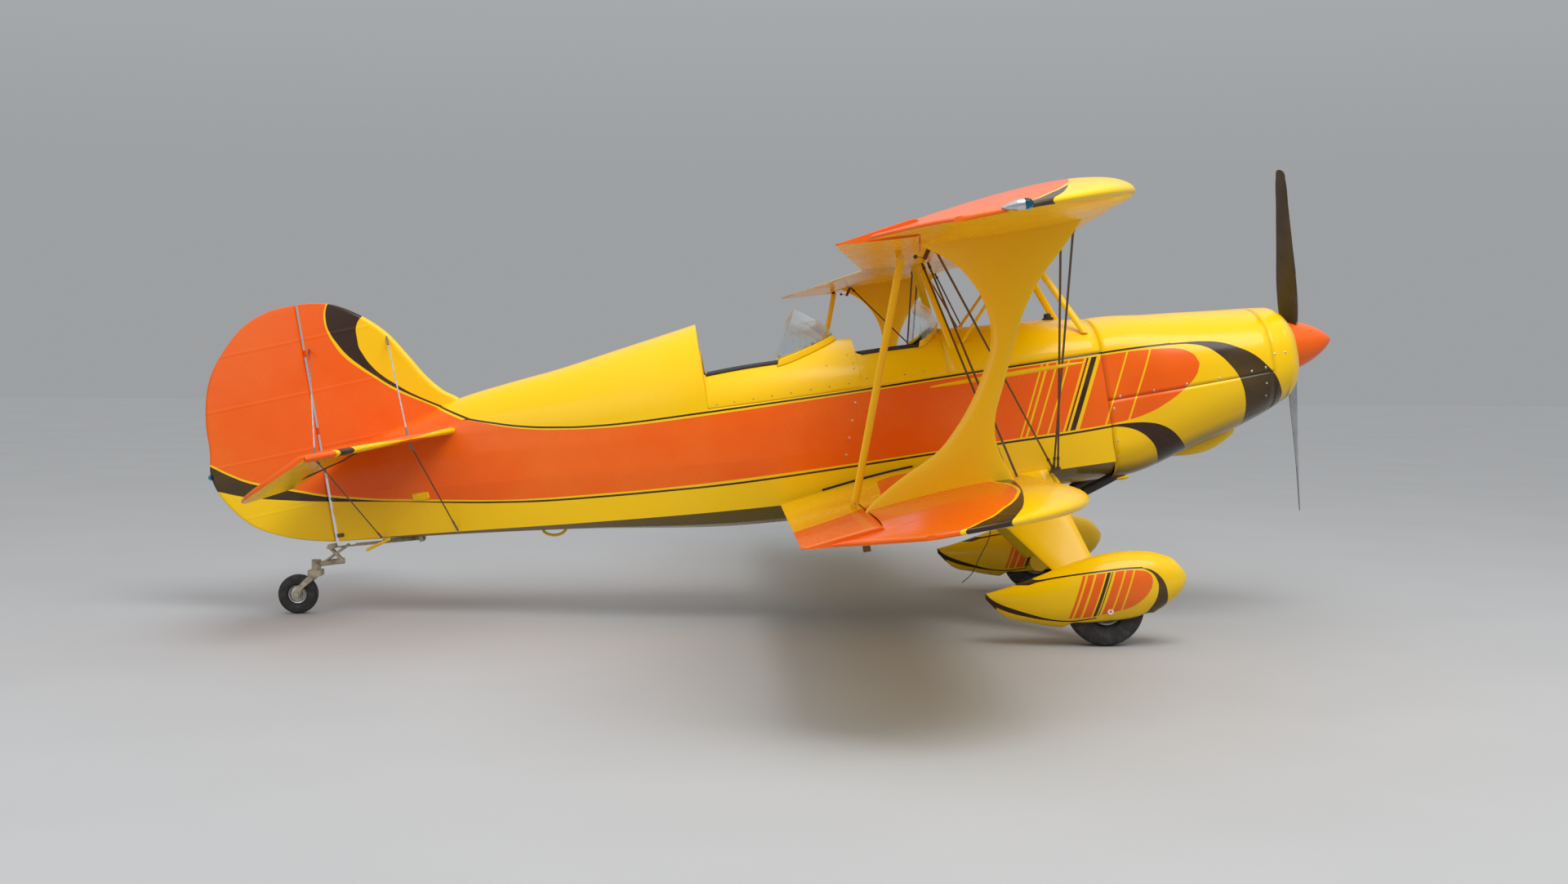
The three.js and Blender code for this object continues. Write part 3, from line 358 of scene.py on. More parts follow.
# The line along a cockpit opening's rim: forward on one side, round the front and back on the other
def rimLine(opening, tops, count=60):
    rear, front = opening["rear"] + opening["corner"], opening["front"]
    x = rear + (front - rear) * np.sin(np.linspace(0, np.pi / 2, count))
    side = deckPoint(x, np.pi - angleAt(x, openingHalf(opening, x)), tops, 0.002)
    return np.vstack([side, side[-2::-1] * [1, -1, 1]])


# Hull and decking in four lengths, each rings or strips at its own stations, and the cockpits' rims
def buildFuselage():
    x = stationsBetween(fuselage["stern"], fuselage["bulkhead"], 0.045, [-3.0, -2.4])
    addPiece("rear_fuselage_skin", ringSkin(hullRings(x)), liveryPaint, standsFor="rear_fuselage", crease=5)
    x = stationsBetween(fuselage["bulkhead"], fuselage["cowlJoint"], 0.045, [-1.0, -0.94])
    thicken(addPiece("fuselage_side_skin", sheetSkin(hullRings(x), closed=True), liveryPaint,
                     standsFor="fuselage_tub", crease=5), fuselage["wall"])

    x = stationsBetween(turtleTops[0][0], fuselage["bulkhead"], 0.05)
    angle = np.linspace(0, np.pi, 41)[None, :]
    addPiece("turtledeck_skin", ringSkin(deckPoint(x[:, None], angle, turtleTops)), liveryPaint,
             standsFor="turtledeck", crease=30)

    edges, turn = [], np.linspace(0, np.pi / 2, 24)
    for opening in openings.values():
        rear, bend, front, corner = (opening[part] for part in ("rear", "bend", "front", "corner"))
        edges += list(bend + (front - bend) * np.sin(turn)) + [rear - 0.0008]
        edges += list(rear + corner * (1 - np.cos(turn[::4])))
    x = stationsBetween(fuselage["bulkhead"], fuselage["panelJoint"], 0.03, edges)
    thicken(addPiece("cockpit_decking", deckStrips(x, coamingTops), liveryPaint, standsFor="cockpit_deck",
                     crease=30), fuselage["deckWall"])
    x = stationsBetween(fuselage["panelJoint"], fuselage["cowlJoint"], 0.05)
    thicken(addPiece("forward_decking", deckStrips(x, coamingTops, cockpit=False), liveryPaint,
                     standsFor="forward_deck", crease=30), fuselage["deckWall"])
    for word, opening in openings.items():
        line = rimLine(opening, coamingTops)
        addPiece(f"{word}_cockpit_rim", ringSkin(barAlong(line, openingRim, 12)), rimRubber)
    print("fuselage made")


cowling = {
    # x, half width, bottom, top, roundness of the superellipse
    "stations": [
        [0.3127, 0.379, 0.677, 1.504, 3.1], [0.420, 0.392, 0.682, 1.495, 3.0],
        [0.700, 0.420, 0.752, 1.471, 2.7], [1.000, 0.428, 0.832, 1.441, 2.5],
        [1.150, 0.420, 0.885, 1.427, 2.4], [1.240, 0.396, 0.925, 1.417, 2.4],
    ],
    "joint": 0.3127, "bowlJoint": 1.145, "gap": 0.0007, "wall": 0.004, "bowlWall": 0.003,
    # the cowl starts out in the hull's shape, above its lower edge
    "easeOver": 0.32, "easeDown": [0.78, 0.96],
    # share of the way in from the rim, x, size of the ring as a share of the rim
    "bowl": [[0, 1.2407, 1.0], [0.12, 1.264, 0.952], [0.22, 1.283, 0.889], [0.33, 1.302, 0.800],
             [0.42, 1.314, 0.727], [0.55, 1.323, 0.600], [0.75, 1.326, 0.420], [1, 1.322, 0.190]],
    "bowlEdge": 1.240, "roundFrom": 0.727, "shaftHeight": 1.2, "middle": 1.09,
    "seam": [[0.31, 1.086], [0.70, 1.095], [1.15, 1.105]],  # x, height of the seam between the halves
    "inlet": {"y": 0.222, "z": 1.205, "halfWide": 0.068, "halfHigh": 0.060, "depth": 0.05},
    "lip": [[0.322, 0.262, 0.684], [0.372, 0.300, 0.690]], "lipRadii": [0.006, 0.008, 0.009, 0.008, 0.004],
}


# A superellipse read by direction: cosine and sine over the sum of their powers, drawn out to size
def superellipse(half, bottom, top, roundness, angle):
    cos, sin = np.cos(angle), np.sin(angle)
    reach = (np.abs(cos) ** roundness + np.abs(sin) ** roundness) ** (-1 / roundness)
    return half * reach * cos, (top + bottom) / 2 + (top - bottom) / 2 * reach * sin


# The hull's outline where the cowl meets it, as distance from the middle by angle above the level
def hullOutline():
    x = np.array([fuselage["cowlJoint"]])
    arch = deckPoint(x[:, None], np.linspace(0, np.pi / 2, 40)[None, ::-1], coamingTops)[0]
    outline = np.vstack([np.abs(arch[:, 1:]), hullSide(x)[0][1:]]) - [0, cowling["middle"]]
    angle = np.arctan2(outline[:, 1], outline[:, 0])
    return angle[::-1], np.hypot(*outline.T)[::-1]


# Smooth step: 0 up to 0, 1 from 1 on, level at both ends
def eased(value):
    value = np.clip(value, 0, 1)
    return value * value * (3 - 2 * value)


# Rings of the cowl between two stations; the angles run from seam to seam, over the top or under the bottom
def cowlHalf(x, over, count=61):
    half, bottom, top, roundness = upright(smoothRead(cowling["stations"], x).T)
    seam = np.interp(x, *np.array(cowling["seam"]).T)[:, None] + (1 if over else -1) * cowling["gap"]
    rise = np.clip((seam - (top + bottom) / 2) / ((top - bottom) / 2), -0.95, 0.95)
    start = np.arctan2(rise, (1 - np.abs(rise) ** roundness) ** (1 / roundness))
    turn = np.linspace(0, 1, count)[None, :]
    angle = start + turn * (np.pi - 2 * start) if over else start - turn * (np.pi + 2 * start)
    across, height = superellipse(half, bottom, top, roundness, angle)
    low, high = cowling["easeDown"]
    share = 1 - eased((x[:, None] - cowling["joint"]) / cowling["easeOver"])
    share = share * eased((height - low) / (high - low))
    polar = np.arctan2(height - cowling["middle"], np.abs(across))
    radius = np.hypot(across, height - cowling["middle"])
    radius = radius + (np.interp(polar, *hullOutline()) - radius) * share
    across, height = np.sign(across) * radius * np.cos(polar), cowling["middle"] + radius * np.sin(polar)
    return np.stack([np.broadcast_to(x[:, None], across.shape), across, height], -1)


# How far points are from the middle of an air inlet, as a share of its outline
def inletShare(y, z):
    inlet = cowling["inlet"]
    return np.hypot((np.abs(y) - inlet["y"]) / inlet["halfWide"], (z - inlet["z"]) / inlet["halfHigh"])


# The front of the bowl: rings that shrink from the cowl's edge while they come forward, then turn from
# superellipses into circles round the shaft; the inlets are pushed in with a smooth step at their rims
def bowlRings():
    edge = smoothRead(cowling["stations"], [cowling["bowlEdge"]])[0]
    x, scale = upright(smoothRead(cowling["bowl"], np.linspace(0, 1, 82)).T)
    angle = fullTurn(240)[None, :]
    fullAcross, fullHigh = superellipse(*edge, angle)
    middle = (edge[1] + edge[2]) / 2
    circle = np.clip((cowling["roundFrom"] - scale) / (cowling["roundFrom"] - cowling["bowl"][-1][2]), 0, 1)
    radius = edge[0] * scale
    across = fullAcross * scale * (1 - circle) + radius * np.cos(angle) * circle
    high = (middle + (fullHigh - middle) * scale) * (1 - circle)
    high = high + (cowling["shaftHeight"] + radius * np.sin(angle)) * circle
    x = x - cowling["inlet"]["depth"] * eased((1.06 - inletShare(across, high)) / 0.16)
    behind = np.linspace(cowling["bowlJoint"] + cowling["gap"], cowling["bowlEdge"], 6)
    sleeve = superellipse(*upright(smoothRead(cowling["stations"], behind).T), angle)
    return np.concatenate([np.stack([np.broadcast_to(behind[:, None], sleeve[0].shape), *sleeve], -1),
                           np.stack([x, across, high], -1)])


# Air scoop under the cowl: U-shaped rings, its mouth turned in at the front. x, half width, bottom
scoop = {
    "stations": [[0.60, 0.060, 0.735], [0.66, 0.100, 0.733], [0.75, 0.122, 0.728], [0.85, 0.123, 0.737],
                 [0.93, 0.117, 0.768], [0.985, 0.110, 0.800]],
    "top": 0.93, "round": 0.045, "wall": 0.007,
}


# Straight sides down from the top, a quarter circle at each lower corner; shrink moves all of it in
def scoopRings(x, shrink=0.0):
    half, bottom = upright(smoothRead(scoop["stations"], x).T)
    half, bottom = half - shrink, bottom + shrink
    turn = np.linspace(0, -np.pi / 2, 9)
    radius = scoop["round"] - shrink
    y = np.concatenate([half, half - radius + radius * np.cos(turn)], axis=1)
    z = np.concatenate([np.full_like(half, scoop["top"]), bottom + radius + radius * np.sin(turn)], axis=1)
    left = np.stack([np.broadcast_to(x[:, None], y.shape), y, z], -1)
    return np.concatenate([left, (left * [1, -1, 1])[:, ::-1]], axis=1)


# Both halves of the cowl, the bowl with its inlets, the lip under the cowl and the scoop
def buildCowl():
    x = stationsBetween(cowling["joint"], cowling["bowlJoint"], 0.03)
    for word, over in (("upper", True), ("lower", False)):
        thicken(addPiece(f"cowl_{word}_skin", sheetSkin(cowlHalf(x, over)), liveryPaint,
                         standsFor=f"cowl_{word}", crease=40), cowling["wall"])
    bowl = addPiece("nose_bowl_skin", sheetSkin(bowlRings(), True), [liveryPaint, paintedShadeBlack],
                    standsFor="nose_bowl", crease=50)
    # The shallow inlets take black as painted shade for the dark inside of the openings
    secondFinish(bowl, lambda at, out: inletShare(at[:, 1], at[:, 2]) < 0.93)
    thicken(bowl, cowling["bowlWall"])
    for word, side in sides:
        lip = ringSkin(barAlong(np.linspace(*cowling["lip"], 5), cowling["lipRadii"]))
        addPiece(f"cowl_lip_{word}", onSide(lip, side), plainYellow)
    x = stationsBetween(scoop["stations"][0][0], scoop["stations"][-1][0], 0.03)
    grid = np.concatenate([scoopRings(x), scoopRings(x[::-1][:9], scoop["wall"])])
    shell = addPiece("air_scoop_shell", sheetSkin(grid, closed=True), [plainYellow, paintedShadeBlack],
                     standsFor="air_scoop", crease=50)
    # The scoop's end faces and its rear take black as painted shade inside its mouth
    secondFinish(shell, lambda at, out: (np.abs(out[:, 0]) > 0.9) | (at[:, 0] < 0.606))
    print("cowl made")


wings = {
    "chord": 1.067,
    "upper": {"lead": 0.302, "sweep": 0.1051, "height": 1.960, "rise": 0.0, "wash": 0.030, "semi": 3.660,
              "round": 2.950, "drop": 0.021, "cut": 0.700, "thinning": 1.9},
    "lower": {"lead": -0.310, "sweep": 0.0, "height": 0.815, "rise": 0.03, "wash": -0.012, "semi": 3.505,
              "round": 2.800, "drop": 0.0, "root": 0.372, "cut": 0.450, "thinning": 1.0},
    "tipSweep": 0.74,  # share of the chord that the round tip takes off the leading edge
    "tipBeyond": 0.015,  # the tip's curve would close this far outside
    "bow": 0.009,  # half the thickness of the tip's edge
    "tipCut": 0.409,  # what the trailing edge loses over a wing's cut in from its tip
    "aileronInner": 1.750, "aileronOuter": 3.200, "aileronAft": 0.275, "aileronGap": 0.006,
    "aileronSide": 0.008, "corner": 0.05, "cornerCut": 0.022, "cove": 0.012,
    "hingeBays": [1.90, 2.96], "strutBay": 2.454,
}
# square root of the share of the chord, upper side, lower side as shares of the chord
airfoil = [[0, 0, 0], [0.141, 0.030, 0.020], [0.316, 0.064, 0.036], [0.548, 0.083, 0.041],
           [0.742, 0.066, 0.034], [0.883, 0.036, 0.022], [1, 0.003, 0.003]]


# The leading edge without its round tip: it falls back with the sweep
def straightLead(plan, y):
    return plan["lead"] - plan["sweep"] * y


# Goes from 1 to nearly 0 towards the tip as a quarter ellipse
def tipTaper(plan, y):
    t = np.clip((y - plan["round"]) / (plan["semi"] + wings["tipBeyond"] - plan["round"]), 0, 1)
    return np.sqrt(1 - t * t)


# Leading and trailing edges at y from the middle: straight, then bowed in to meet at the tip; an aileron
# keeps the straight trailing edge, and only its outer corner is rounded
def wingEdges(plan, y, aileron=False):
    lead = straightLead(plan, y) - wings["tipSweep"] * wings["chord"] * (1 - tipTaper(plan, y))
    t = np.clip((y - plan["semi"] + plan["cut"]) / plan["cut"], 0, 1)
    corner = np.clip((y - wings["aileronOuter"] + wings["corner"]) / wings["corner"], 0, 1)
    cut = wings["cornerCut"] * corner**2 if aileron else wings["tipCut"] * t**1.2
    return lead, straightLead(plan, y) - wings["chord"] + cut


# Heights of the wing's upper and lower skin at y and x: the airfoil scaled by the local chord,
# laid on the wing's own slope, and thinned towards the tip
def wingSkin(plan, y, x, aileron=False):
    lead, trail = upright(wingEdges(plan, y, aileron))
    share = np.clip((lead - x) / (lead - trail), 0, 1)
    heights = smoothRead(airfoil, np.sqrt(share).ravel()).reshape(*share.shape, 2) * (lead - trail)[..., None]
    close = tipTaper(plan, y)[:, None]
    line = (plan["height"] + plan["rise"] * y[:, None] - plan["drop"] * (1 - close)
            - plan["wash"] * (straightLead(plan, y)[:, None] - x) / wings["chord"])
    bow = wings["bow"] * np.clip((y[:, None] - wings["aileronOuter"]) / wings["corner"], 0, 1)
    bow = bow * np.sqrt(np.clip(share * (lead - trail) / 0.012, 0, 1))
    over, under = heights[..., 0] * close ** plan["thinning"], heights[..., 1] * close
    return line + np.hypot(over, bow), line - np.hypot(under, bow)


# Distance out along the wing: coarse inboard, finer round the tip, close on each side of the aileron's ends
def wingStations(plan, start):
    tip = plan["round"] + (plan["semi"] - plan["round"]) * np.sin(np.linspace(0, np.pi / 2, 34))
    both = [wings[end] + way for end in ("aileronInner", "aileronOuter") for way in (-0.0005, 0.0005)]
    return np.unique(np.concatenate([stationsBetween(start, plan["round"], 0.12), tip, both]))


# Place and height of an aileron's hinge, and half the wing's thickness there
def hingeLine(plan, y):
    x = straightLead(plan, y) - wings["chord"] + wings["aileronAft"]
    over, under = (skin[:, 0] for skin in wingSkin(plan, y, x[:, None], True))
    return x, (over + under) / 2, (over - under) / 2


# A wing's rings: back over the top, round the hollow in front of the aileron or round the blunt edge, and
# forward underneath
def wingRings(plan, y, count=34):
    lead, trail = wingEdges(plan, y)
    hingeX, _, reach = hingeLine(plan, y)
    carries = (y > wings["aileronInner"]) & (y < wings["aileronOuter"])
    end = np.where(carries, hingeX + wings["aileronGap"] + wings["cove"], trail)
    x = lead[:, None] + (end - lead)[:, None] * np.linspace(0, 1, count) ** 1.7
    over, under = wingSkin(plan, y, x)
    hollow = np.where(carries, (reach + wings["aileronGap"]) * 0.6, -(over[:, -1] - under[:, -1]) / 2)
    coveX = end[:, None] + hollow[:, None] * np.sin(np.linspace(0, np.pi, 9))[1:-1]
    coveZ = over[:, -1:] + (under[:, -1:] - over[:, -1:]) * np.linspace(0, 1, 9)[1:-1]
    ringX = np.concatenate([x, coveX, x[:, ::-1]], axis=1)
    ringZ = np.concatenate([over, coveZ, under[:, ::-1]], axis=1)
    return np.stack([ringX, np.broadcast_to(y[:, None], ringX.shape), ringZ], -1)


# An aileron's rings: a round nose about the hinge line, then both skins back to the trailing edge
def aileronRings(plan, y, count=16):
    _, trail = wingEdges(plan, y, True)
    hingeX, _, reach = hingeLine(plan, y)
    x = hingeX[:, None] + (trail - hingeX)[:, None] * np.linspace(0, 1, count)
    over, under = wingSkin(plan, y, x, True)
    turn = np.linspace(-np.pi / 2, np.pi / 2, 15)[1:-1]
    middle, half = (over[:, :1] + under[:, :1]) / 2, (over[:, :1] - under[:, :1]) / 2
    ringX = np.concatenate([hingeX[:, None] + reach[:, None] * np.cos(turn), x, x[:, ::-1]], axis=1)
    ringZ = np.concatenate([middle + half * np.sin(turn), over, under[:, ::-1]], axis=1)
    return np.stack([ringX, np.broadcast_to(y[:, None], ringX.shape), ringZ], -1)


tongue = {"gap": 0.0015, "turn": 0.9, "flat": 0.8, "length": 0.02, "high": 0.02, "half": 0.008}


# Narrow ribs that carry the hinges: tongues from the wing back to the aileron's nose
def hingeTongues(plan, side):
    parts = []
    for bay in wings["hingeBays"]:
        x, z, reach = (value[0] for value in hingeLine(plan, np.array([bay])))
        turn, nose = np.linspace(-tongue["turn"], tongue["turn"], 9), reach + tongue["gap"]
        near = np.stack([x + nose * np.cos(turn), z + tongue["flat"] * nose * np.sin(turn)], -1)
        end = x + reach + tongue["length"]
        outline = np.vstack([near, [end, z + tongue["high"]], [end, z - tongue["high"]]])
        rings = [np.insert(outline, 1, side * bay + way, axis=1) for way in (-tongue["half"], tongue["half"])]
        parts.append(ringSkin(np.array(rings)))
    return parts


link = {
    "bay": 2.270, "aft": {"lower": 0.018, "upper": 0.062}, "rise": 0.062, "eye": 0.014, "eyeHalf": 0.007,
    "lugGap": {"lower": 0.0006, "upper": 0.003}, "lugHalf": 0.004, "lugBack": 0.020, "lugFront": 0.006,
    "depth": 0.032, "width": 0.013, "bolt": 0.005, "boltHalf": 0.0085,
}


# Middle of a link's eye: aft of the hinge line, below the upper aileron or above the lower one
def linkPin(which, side):
    x, z, _ = (value[0] for value in hingeLine(wings[which], np.array([link["bay"]])))
    rise = link["rise"] * (-1 if which == "upper" else 1)
    return np.array([x - link["aft"][which], side * link["bay"], z + rise])


# An aileron and its horn: a box down or up to a round eye beside the link
def buildAileron(which, word, side):
    name, end = f"aileron_{which}_{word}", wings["aileronOuter"] - wings["aileronSide"]
    y = wingStations(wings[which], wings["aileronInner"] + wings["aileronSide"])
    y = np.append(y[y < end - 0.002], end)
    addPiece(f"{name}_skin", onSide(ringSkin(aileronRings(wings[which], y)), side), wingPaint[which],
             body=name, standsFor=name, crease=45)
    x, out, z = linkPin(which, side)
    half = link["lugHalf"]
    out = out - side * (link["eyeHalf"] + link["lugGap"][which] + half)
    low, high = sorted([z, z + (link["rise"] - 0.004) * (1 if which == "upper" else -1)])
    lug = boxSkin((x - link["lugBack"], out - half, low), (x + link["lugFront"], out + half, high))
    addPiece(f"{name}_horn", together(lug, crossPin([x, out, z], half, link["eye"], 24)), plainYellow,
             body=name)


# A streamlined rod between two eyes, each with a bolt through it
def buildLink(word, side):
    pins, name = [linkPin(which, side) for which in ("lower", "upper")], f"aileron_link_{word}"
    eyes = [crossPin(pin, link["eyeHalf"], link["eye"], 24) for pin in pins]
    addPiece(f"{name}_rod", together(ovalBar(*pins, link["depth"], link["width"]), *eyes), plainYellow,
             body=name,
             standsFor=name, crease=40)
    bolts = [crossPin(pin, link["boltHalf"], link["bolt"]) for pin in pins]
    addPiece(f"{name}_bolts", together(*bolts), brightSteel, body=name)


# Interplane strut. z, x of its rear edge; z, x of its front edge
strut = {
    "rear": [[0.880, -1.094], [0.945, -1.094], [1.000, -1.02], [1.041, -0.951], [1.118, -0.797],
             [1.204, -0.702], [1.300, -0.625], [1.403, -0.564], [1.486, -0.525], [1.560, -0.513],
             [1.660, -0.524], [1.750, -0.560], [1.830, -0.620], [1.925, -0.750]],
    "front": [[0.880, -0.480], [0.997, -0.520], [1.064, -0.546], [1.142, -0.558], [1.224, -0.546],
              [1.329, -0.501], [1.493, -0.428], [1.593, -0.382], [1.729, -0.284], [1.835, -0.176],
              [1.925, -0.094]],
    "thickness": 0.046, "bottom": 0.895, "top": 1.925,
}


# Level sections between the rear and front edges, their half thickness a power of a sine
def buildStrut(word, side):
    z = stationsBetween(strut["bottom"], strut["top"], 0.018)
    front, rear = (np.stack([smoothRead(strut[edge], z)[:, 0], np.full_like(z, side * wings["strutBay"]), z],
                            -1)
                   for edge in ("front", "rear"))
    shares = cosineShares(25)
    half = strut["thickness"] / 2 * np.sin(np.pi * shares) ** 0.55
    addPiece(f"strut_{word}_fairing", ringSkin(ruledRings(front, rear, shares, half, [0, 1, 0])), plainYellow,
             standsFor=f"strut_{word}", crease=60)


tieDown = {"x": -0.560, "y": 2.454, "drop": 0.034, "half": 0.022, "under": 0.040, "into": 0.02}


# A block that stands out of the lower wing's underside at the strut
def tieDownPad(side):
    x, y, half = tieDown["x"], side * tieDown["y"], tieDown["half"]
    skin = wings["lower"]["height"] + wings["lower"]["rise"] * tieDown["y"] - tieDown["under"]
    return boxSkin((x - half, y - half, skin - tieDown["drop"]), (x + half, y + half, skin + tieDown["into"]))


# The upper wing in one piece through the middle, the lower ones from the hull out
def buildWings():
    plan = wings["upper"]
    left = wingRings(plan, wingStations(plan, 0.0))
    both = ringSkin(np.concatenate([(left * [1, -1, 1])[::-1], left[1:]]))
    addPiece("upper_wing_skin", together(both, *hingeTongues(plan, -1), *hingeTongues(plan, 1)),
             wingPaint["upper"], standsFor="upper_wing", crease=50)
    plan = wings["lower"]
    rings = ringSkin(wingRings(plan, wingStations(plan, plan["root"])))
    for word, side in sides:
        skin = together(onSide(rings, side), tieDownPad(side), *hingeTongues(plan, side))
        addPiece(f"lower_wing_{word}_skin", skin, wingPaint["lower"], standsFor=f"lower_wing_{word}",
                 crease=50)
        for which in ("upper", "lower"):
            buildAileron(which, word, side)
        buildStrut(word, side)
        buildLink(word, side)
    print("wings made")


# A black bar of painted shadow where a lower wing's upper skin meets the hull, a bracket under the upper
# aileron's hinge, and a block on the lower aileron. The bracket's points are x, z
rootShadow = {"rear": -1.162, "front": -0.700, "lift": 0.003, "out": 0.002, "radius": 0.0055}
hingeBracket = {"y": 2.330, "top": [-0.678, 1.912], "low": [-0.705, 1.866], "arm": [-0.742, 1.876],
                "post": [0.020, 0.007], "lever": [0.010, 0.007], "boss": 0.008, "bossHalf": 0.009}
tipBlock = {"low": [-1.163, 3.100, 0.870], "high": [-1.137, 3.120, 0.896]}


# The painted shadow bar follows the lower wing's upper skin along the hull's side
def buildWingFittings():
    x = np.linspace(rootShadow["rear"], rootShadow["front"], 14)
    z = wingSkin(wings["lower"], np.full(14, wings["lower"]["root"]), x[:, None])[0][:, 0] + rootShadow["lift"]
    line = np.stack([x, hullHalf(x, z) + rootShadow["out"], z], -1)
    slot = ringSkin(barAlong(line, rootShadow["radius"], 10))
    top, low, arm = (np.insert(hingeBracket[key], 1, hingeBracket["y"]) for key in ("top", "low", "arm"))
    bosses = [crossPin(point, hingeBracket["bossHalf"], hingeBracket["boss"]) for point in (low, arm)]
    bars = ovalBar(top, low, *hingeBracket["post"], 16), ovalBar(low, arm, *hingeBracket["lever"], 16)
    bracket = together(*bars, *bosses)
    block = boxSkin(tipBlock["low"], tipBlock["high"])
    for word, side in sides:
        # Black bar of painted shadow in the wing-root gap
        addPiece(f"wing_root_shadow_{word}", onSide(slot, side), paintedShadeBlack)
        addPiece(f"hinge_bracket_{word}", onSide(bracket, side), bracketRust)
        addPiece(f"tip_block_{word}", onSide(block, side), bracketRust, body=f"aileron_lower_{word}")


bracing = {
    # Cabane bars: foot x, y, z, head x, y, z, depth, width
    "cabane": [[0.262, 0.302, 1.440, 0.034, 0.149, 1.935, 0.040, 0.020],
               [-0.400, 0.300, 1.440, -0.487, 0.140, 1.935, 0.040, 0.020],
               [-0.400, 0.300, 1.440, 0.062, 0.149, 1.935, 0.022, 0.014]],
    # Wires of one bay: from x, y, z to x, y, z
    "wires": [[-0.010, 0.384, 0.800, -0.123, 2.420, 1.940], [0.012, 0.384, 0.800, -0.176, 2.420, 1.940],
              [-0.014, 0.384, 0.800, -0.690, 2.420, 1.940], [-0.485, 0.185, 1.935, -0.500, 2.420, 0.880],
              [-0.455, 0.185, 1.935, -0.470, 2.420, 0.880]],
    "wireDepth": 0.010, "wireWidth": 0.005,
    "fork": 0.11, "forkRadius": 0.006, "nutRadius": 0.0085, "nutBack": 0.004, "nutFront": 0.012,
    "spear": {"y": 1.432, "z": 1.336, "rear": -0.667, "front": 0.024, "radius": 0.011},
    "tab": {"low": [-0.018, 0.330, 0.786], "high": [0.024, 0.390, 0.802]},
}


# Cabane bars, wires with a fork and a nut at both ends, and the spears where wires cross
def buildBracing():
    spear = bracing["spear"]
    x = np.linspace(spear["rear"], spear["front"], 30)
    radius = spear["radius"] * np.sin(np.pi * np.clip(np.linspace(0, 1, 30), 0.02, 0.98)) ** 0.45
    spearSkin = ringSkin(barAlong([[at, spear["y"], spear["z"]] for at in x], radius, 16))
    cabane = together(*(ovalBar(bar[:3], bar[3:6], *bar[6:]) for bar in bracing["cabane"]))
    wires, ends = [], []
    for wire in np.array(bracing["wires"]):
        start, end = wire[:3], wire[3:]
        wires.append(ovalBar(start, end, bracing["wireDepth"], bracing["wireWidth"], 12, 3))
        unit = (end - start) / np.linalg.norm(end - start)
        for foot, way in ((start, unit), (end, -unit)):
            tip, back, front = (foot + way * (bracing["fork"] + more)
                                for more in (0, -bracing["nutBack"], bracing["nutFront"]))
            ends.append(straightBar(foot, tip, bracing["forkRadius"], 10))
            ends.append(straightBar(back, front, bracing["nutRadius"], 6))
    ends.append(boxSkin(bracing["tab"]["low"], bracing["tab"]["high"]))
    for word, side in sides:
        addPiece(f"cabane_{word}_struts", onSide(cabane, side), plainYellow, standsFor=f"cabane_{word}",
                 crease=60)
        addPiece(f"brace_wires_{word}", onSide(together(*wires), side), wireBrown,
                 standsFor=f"bracing_{word}",
                 crease=60)
        addPiece(f"wire_ends_{word}", onSide(together(*ends), side), wireBrown)
        addPiece(f"wire_spear_{word}", onSide(spearSkin, side), plainYellow)
    print("bracing made")


tail = {
    "finLead": [[-2.950, 1.450], [-2.890, 1.560], [-2.905, 1.600], [-2.987, 1.666], [-3.057, 1.748],
                [-3.131, 1.867], [-3.225, 2.007], [-3.337, 2.108], [-3.505, 2.197], [-3.640, 2.213]],
    "finPost": -3.642, "thickness": 0.040, "hinge": -3.650, "hinges": [1.560, 1.960],
    "pin": 0.007, "pinHalf": 0.018, "strap": [0.011, 0.005, 0.016],
    "rudderEdge": [[-3.657, 2.211], [-3.790, 2.202], [-3.924, 2.152], [-4.048, 2.046], [-4.146, 1.914],
                   [-4.208, 1.683], [-4.213, 1.536], [-4.229, 1.420], [-4.204, 1.323], [-4.149, 1.229],
                   [-4.061, 1.133], [-3.946, 1.068], [-3.807, 1.019], [-3.657, 0.987]],
    "rudderNose": 0.0073, "rudderHalf": 0.017,
    "level": 1.457, "elevatorHinge": -3.460, "droop": 25, "plateThickness": 0.034,
    "tailplaneLead": [[-2.905, 0.0], [-2.930, 0.13], [-3.341, 1.165], [-3.362, 1.212], [-3.392, 1.252],
                      [-3.418, 1.276], [-3.4365, 1.290]],
    "tailplaneRear": -3.437,
    # y, chord behind the hinge
    "elevator": [[0.062, 0.110], [0.116, 0.240], [0.170, 0.368], [0.60, 0.368], [1.060, 0.368],
                 [1.150, 0.357], [1.215, 0.322], [1.262, 0.265], [1.286, 0.19], [1.297, 0.10], [1.300, 0.0]],
    "elevatorNose": 0.017, "tube": 0.015, "tubeHalf": 0.067,
    "tabs": [0.330, 0.900], "tabFront": 0.012, "tabBack": 0.0175, "tabHalf": 0.010, "tabHigh": 0.006,
}


# An upright plate in the plane of symmetry between two lines of x and height
def finPlate(front, rear, height, shares, *shape):
    lines = [np.stack([x + 0 * height, 0 * height, height], -1) for x in (front, rear)]
    return ringSkin(ruledRings(*lines, shares, roundedHalf(shares, front - rear, *shape), [0, 1, 0]))


# Upright plates: the fin from its curved lead to the post, the rudder from its nose to its curved edge
def buildFinAndRudder():
    shares, hinge = cosineShares(41), tail["hinge"]
    x, height = alongLine(tail["finLead"], 60).T
    parts = [finPlate(x, tail["finPost"], height, shares, tail["thickness"] / 2, 0.035, 0.0)]
    length, half, high = tail["strap"]
    for z in tail["hinges"]:
        parts.append(straightBar([hinge, 0, z - tail["pinHalf"]], [hinge, 0, z + tail["pinHalf"]],
                                 tail["pin"], 20))
        parts.append(boxSkin((hinge, -half, z - high), (hinge + length, half, z + high)))
    addPiece("fin_skin", together(*parts), liveryPaint, standsFor="fin", crease=50, slot="orange_paint")
    x, height = alongLine(tail["rudderEdge"], 90).T
    nose = hinge - tail["rudderNose"]
    skin = finPlate(nose, np.minimum(x, nose - 0.0004), height, shares, tail["rudderHalf"], 0.008, 0.016,
                    0.45)
    addPiece("rudder_skin", skin, liveryPaint, body="rudder", standsFor="rudder", crease=50,
             slot="orange_paint")


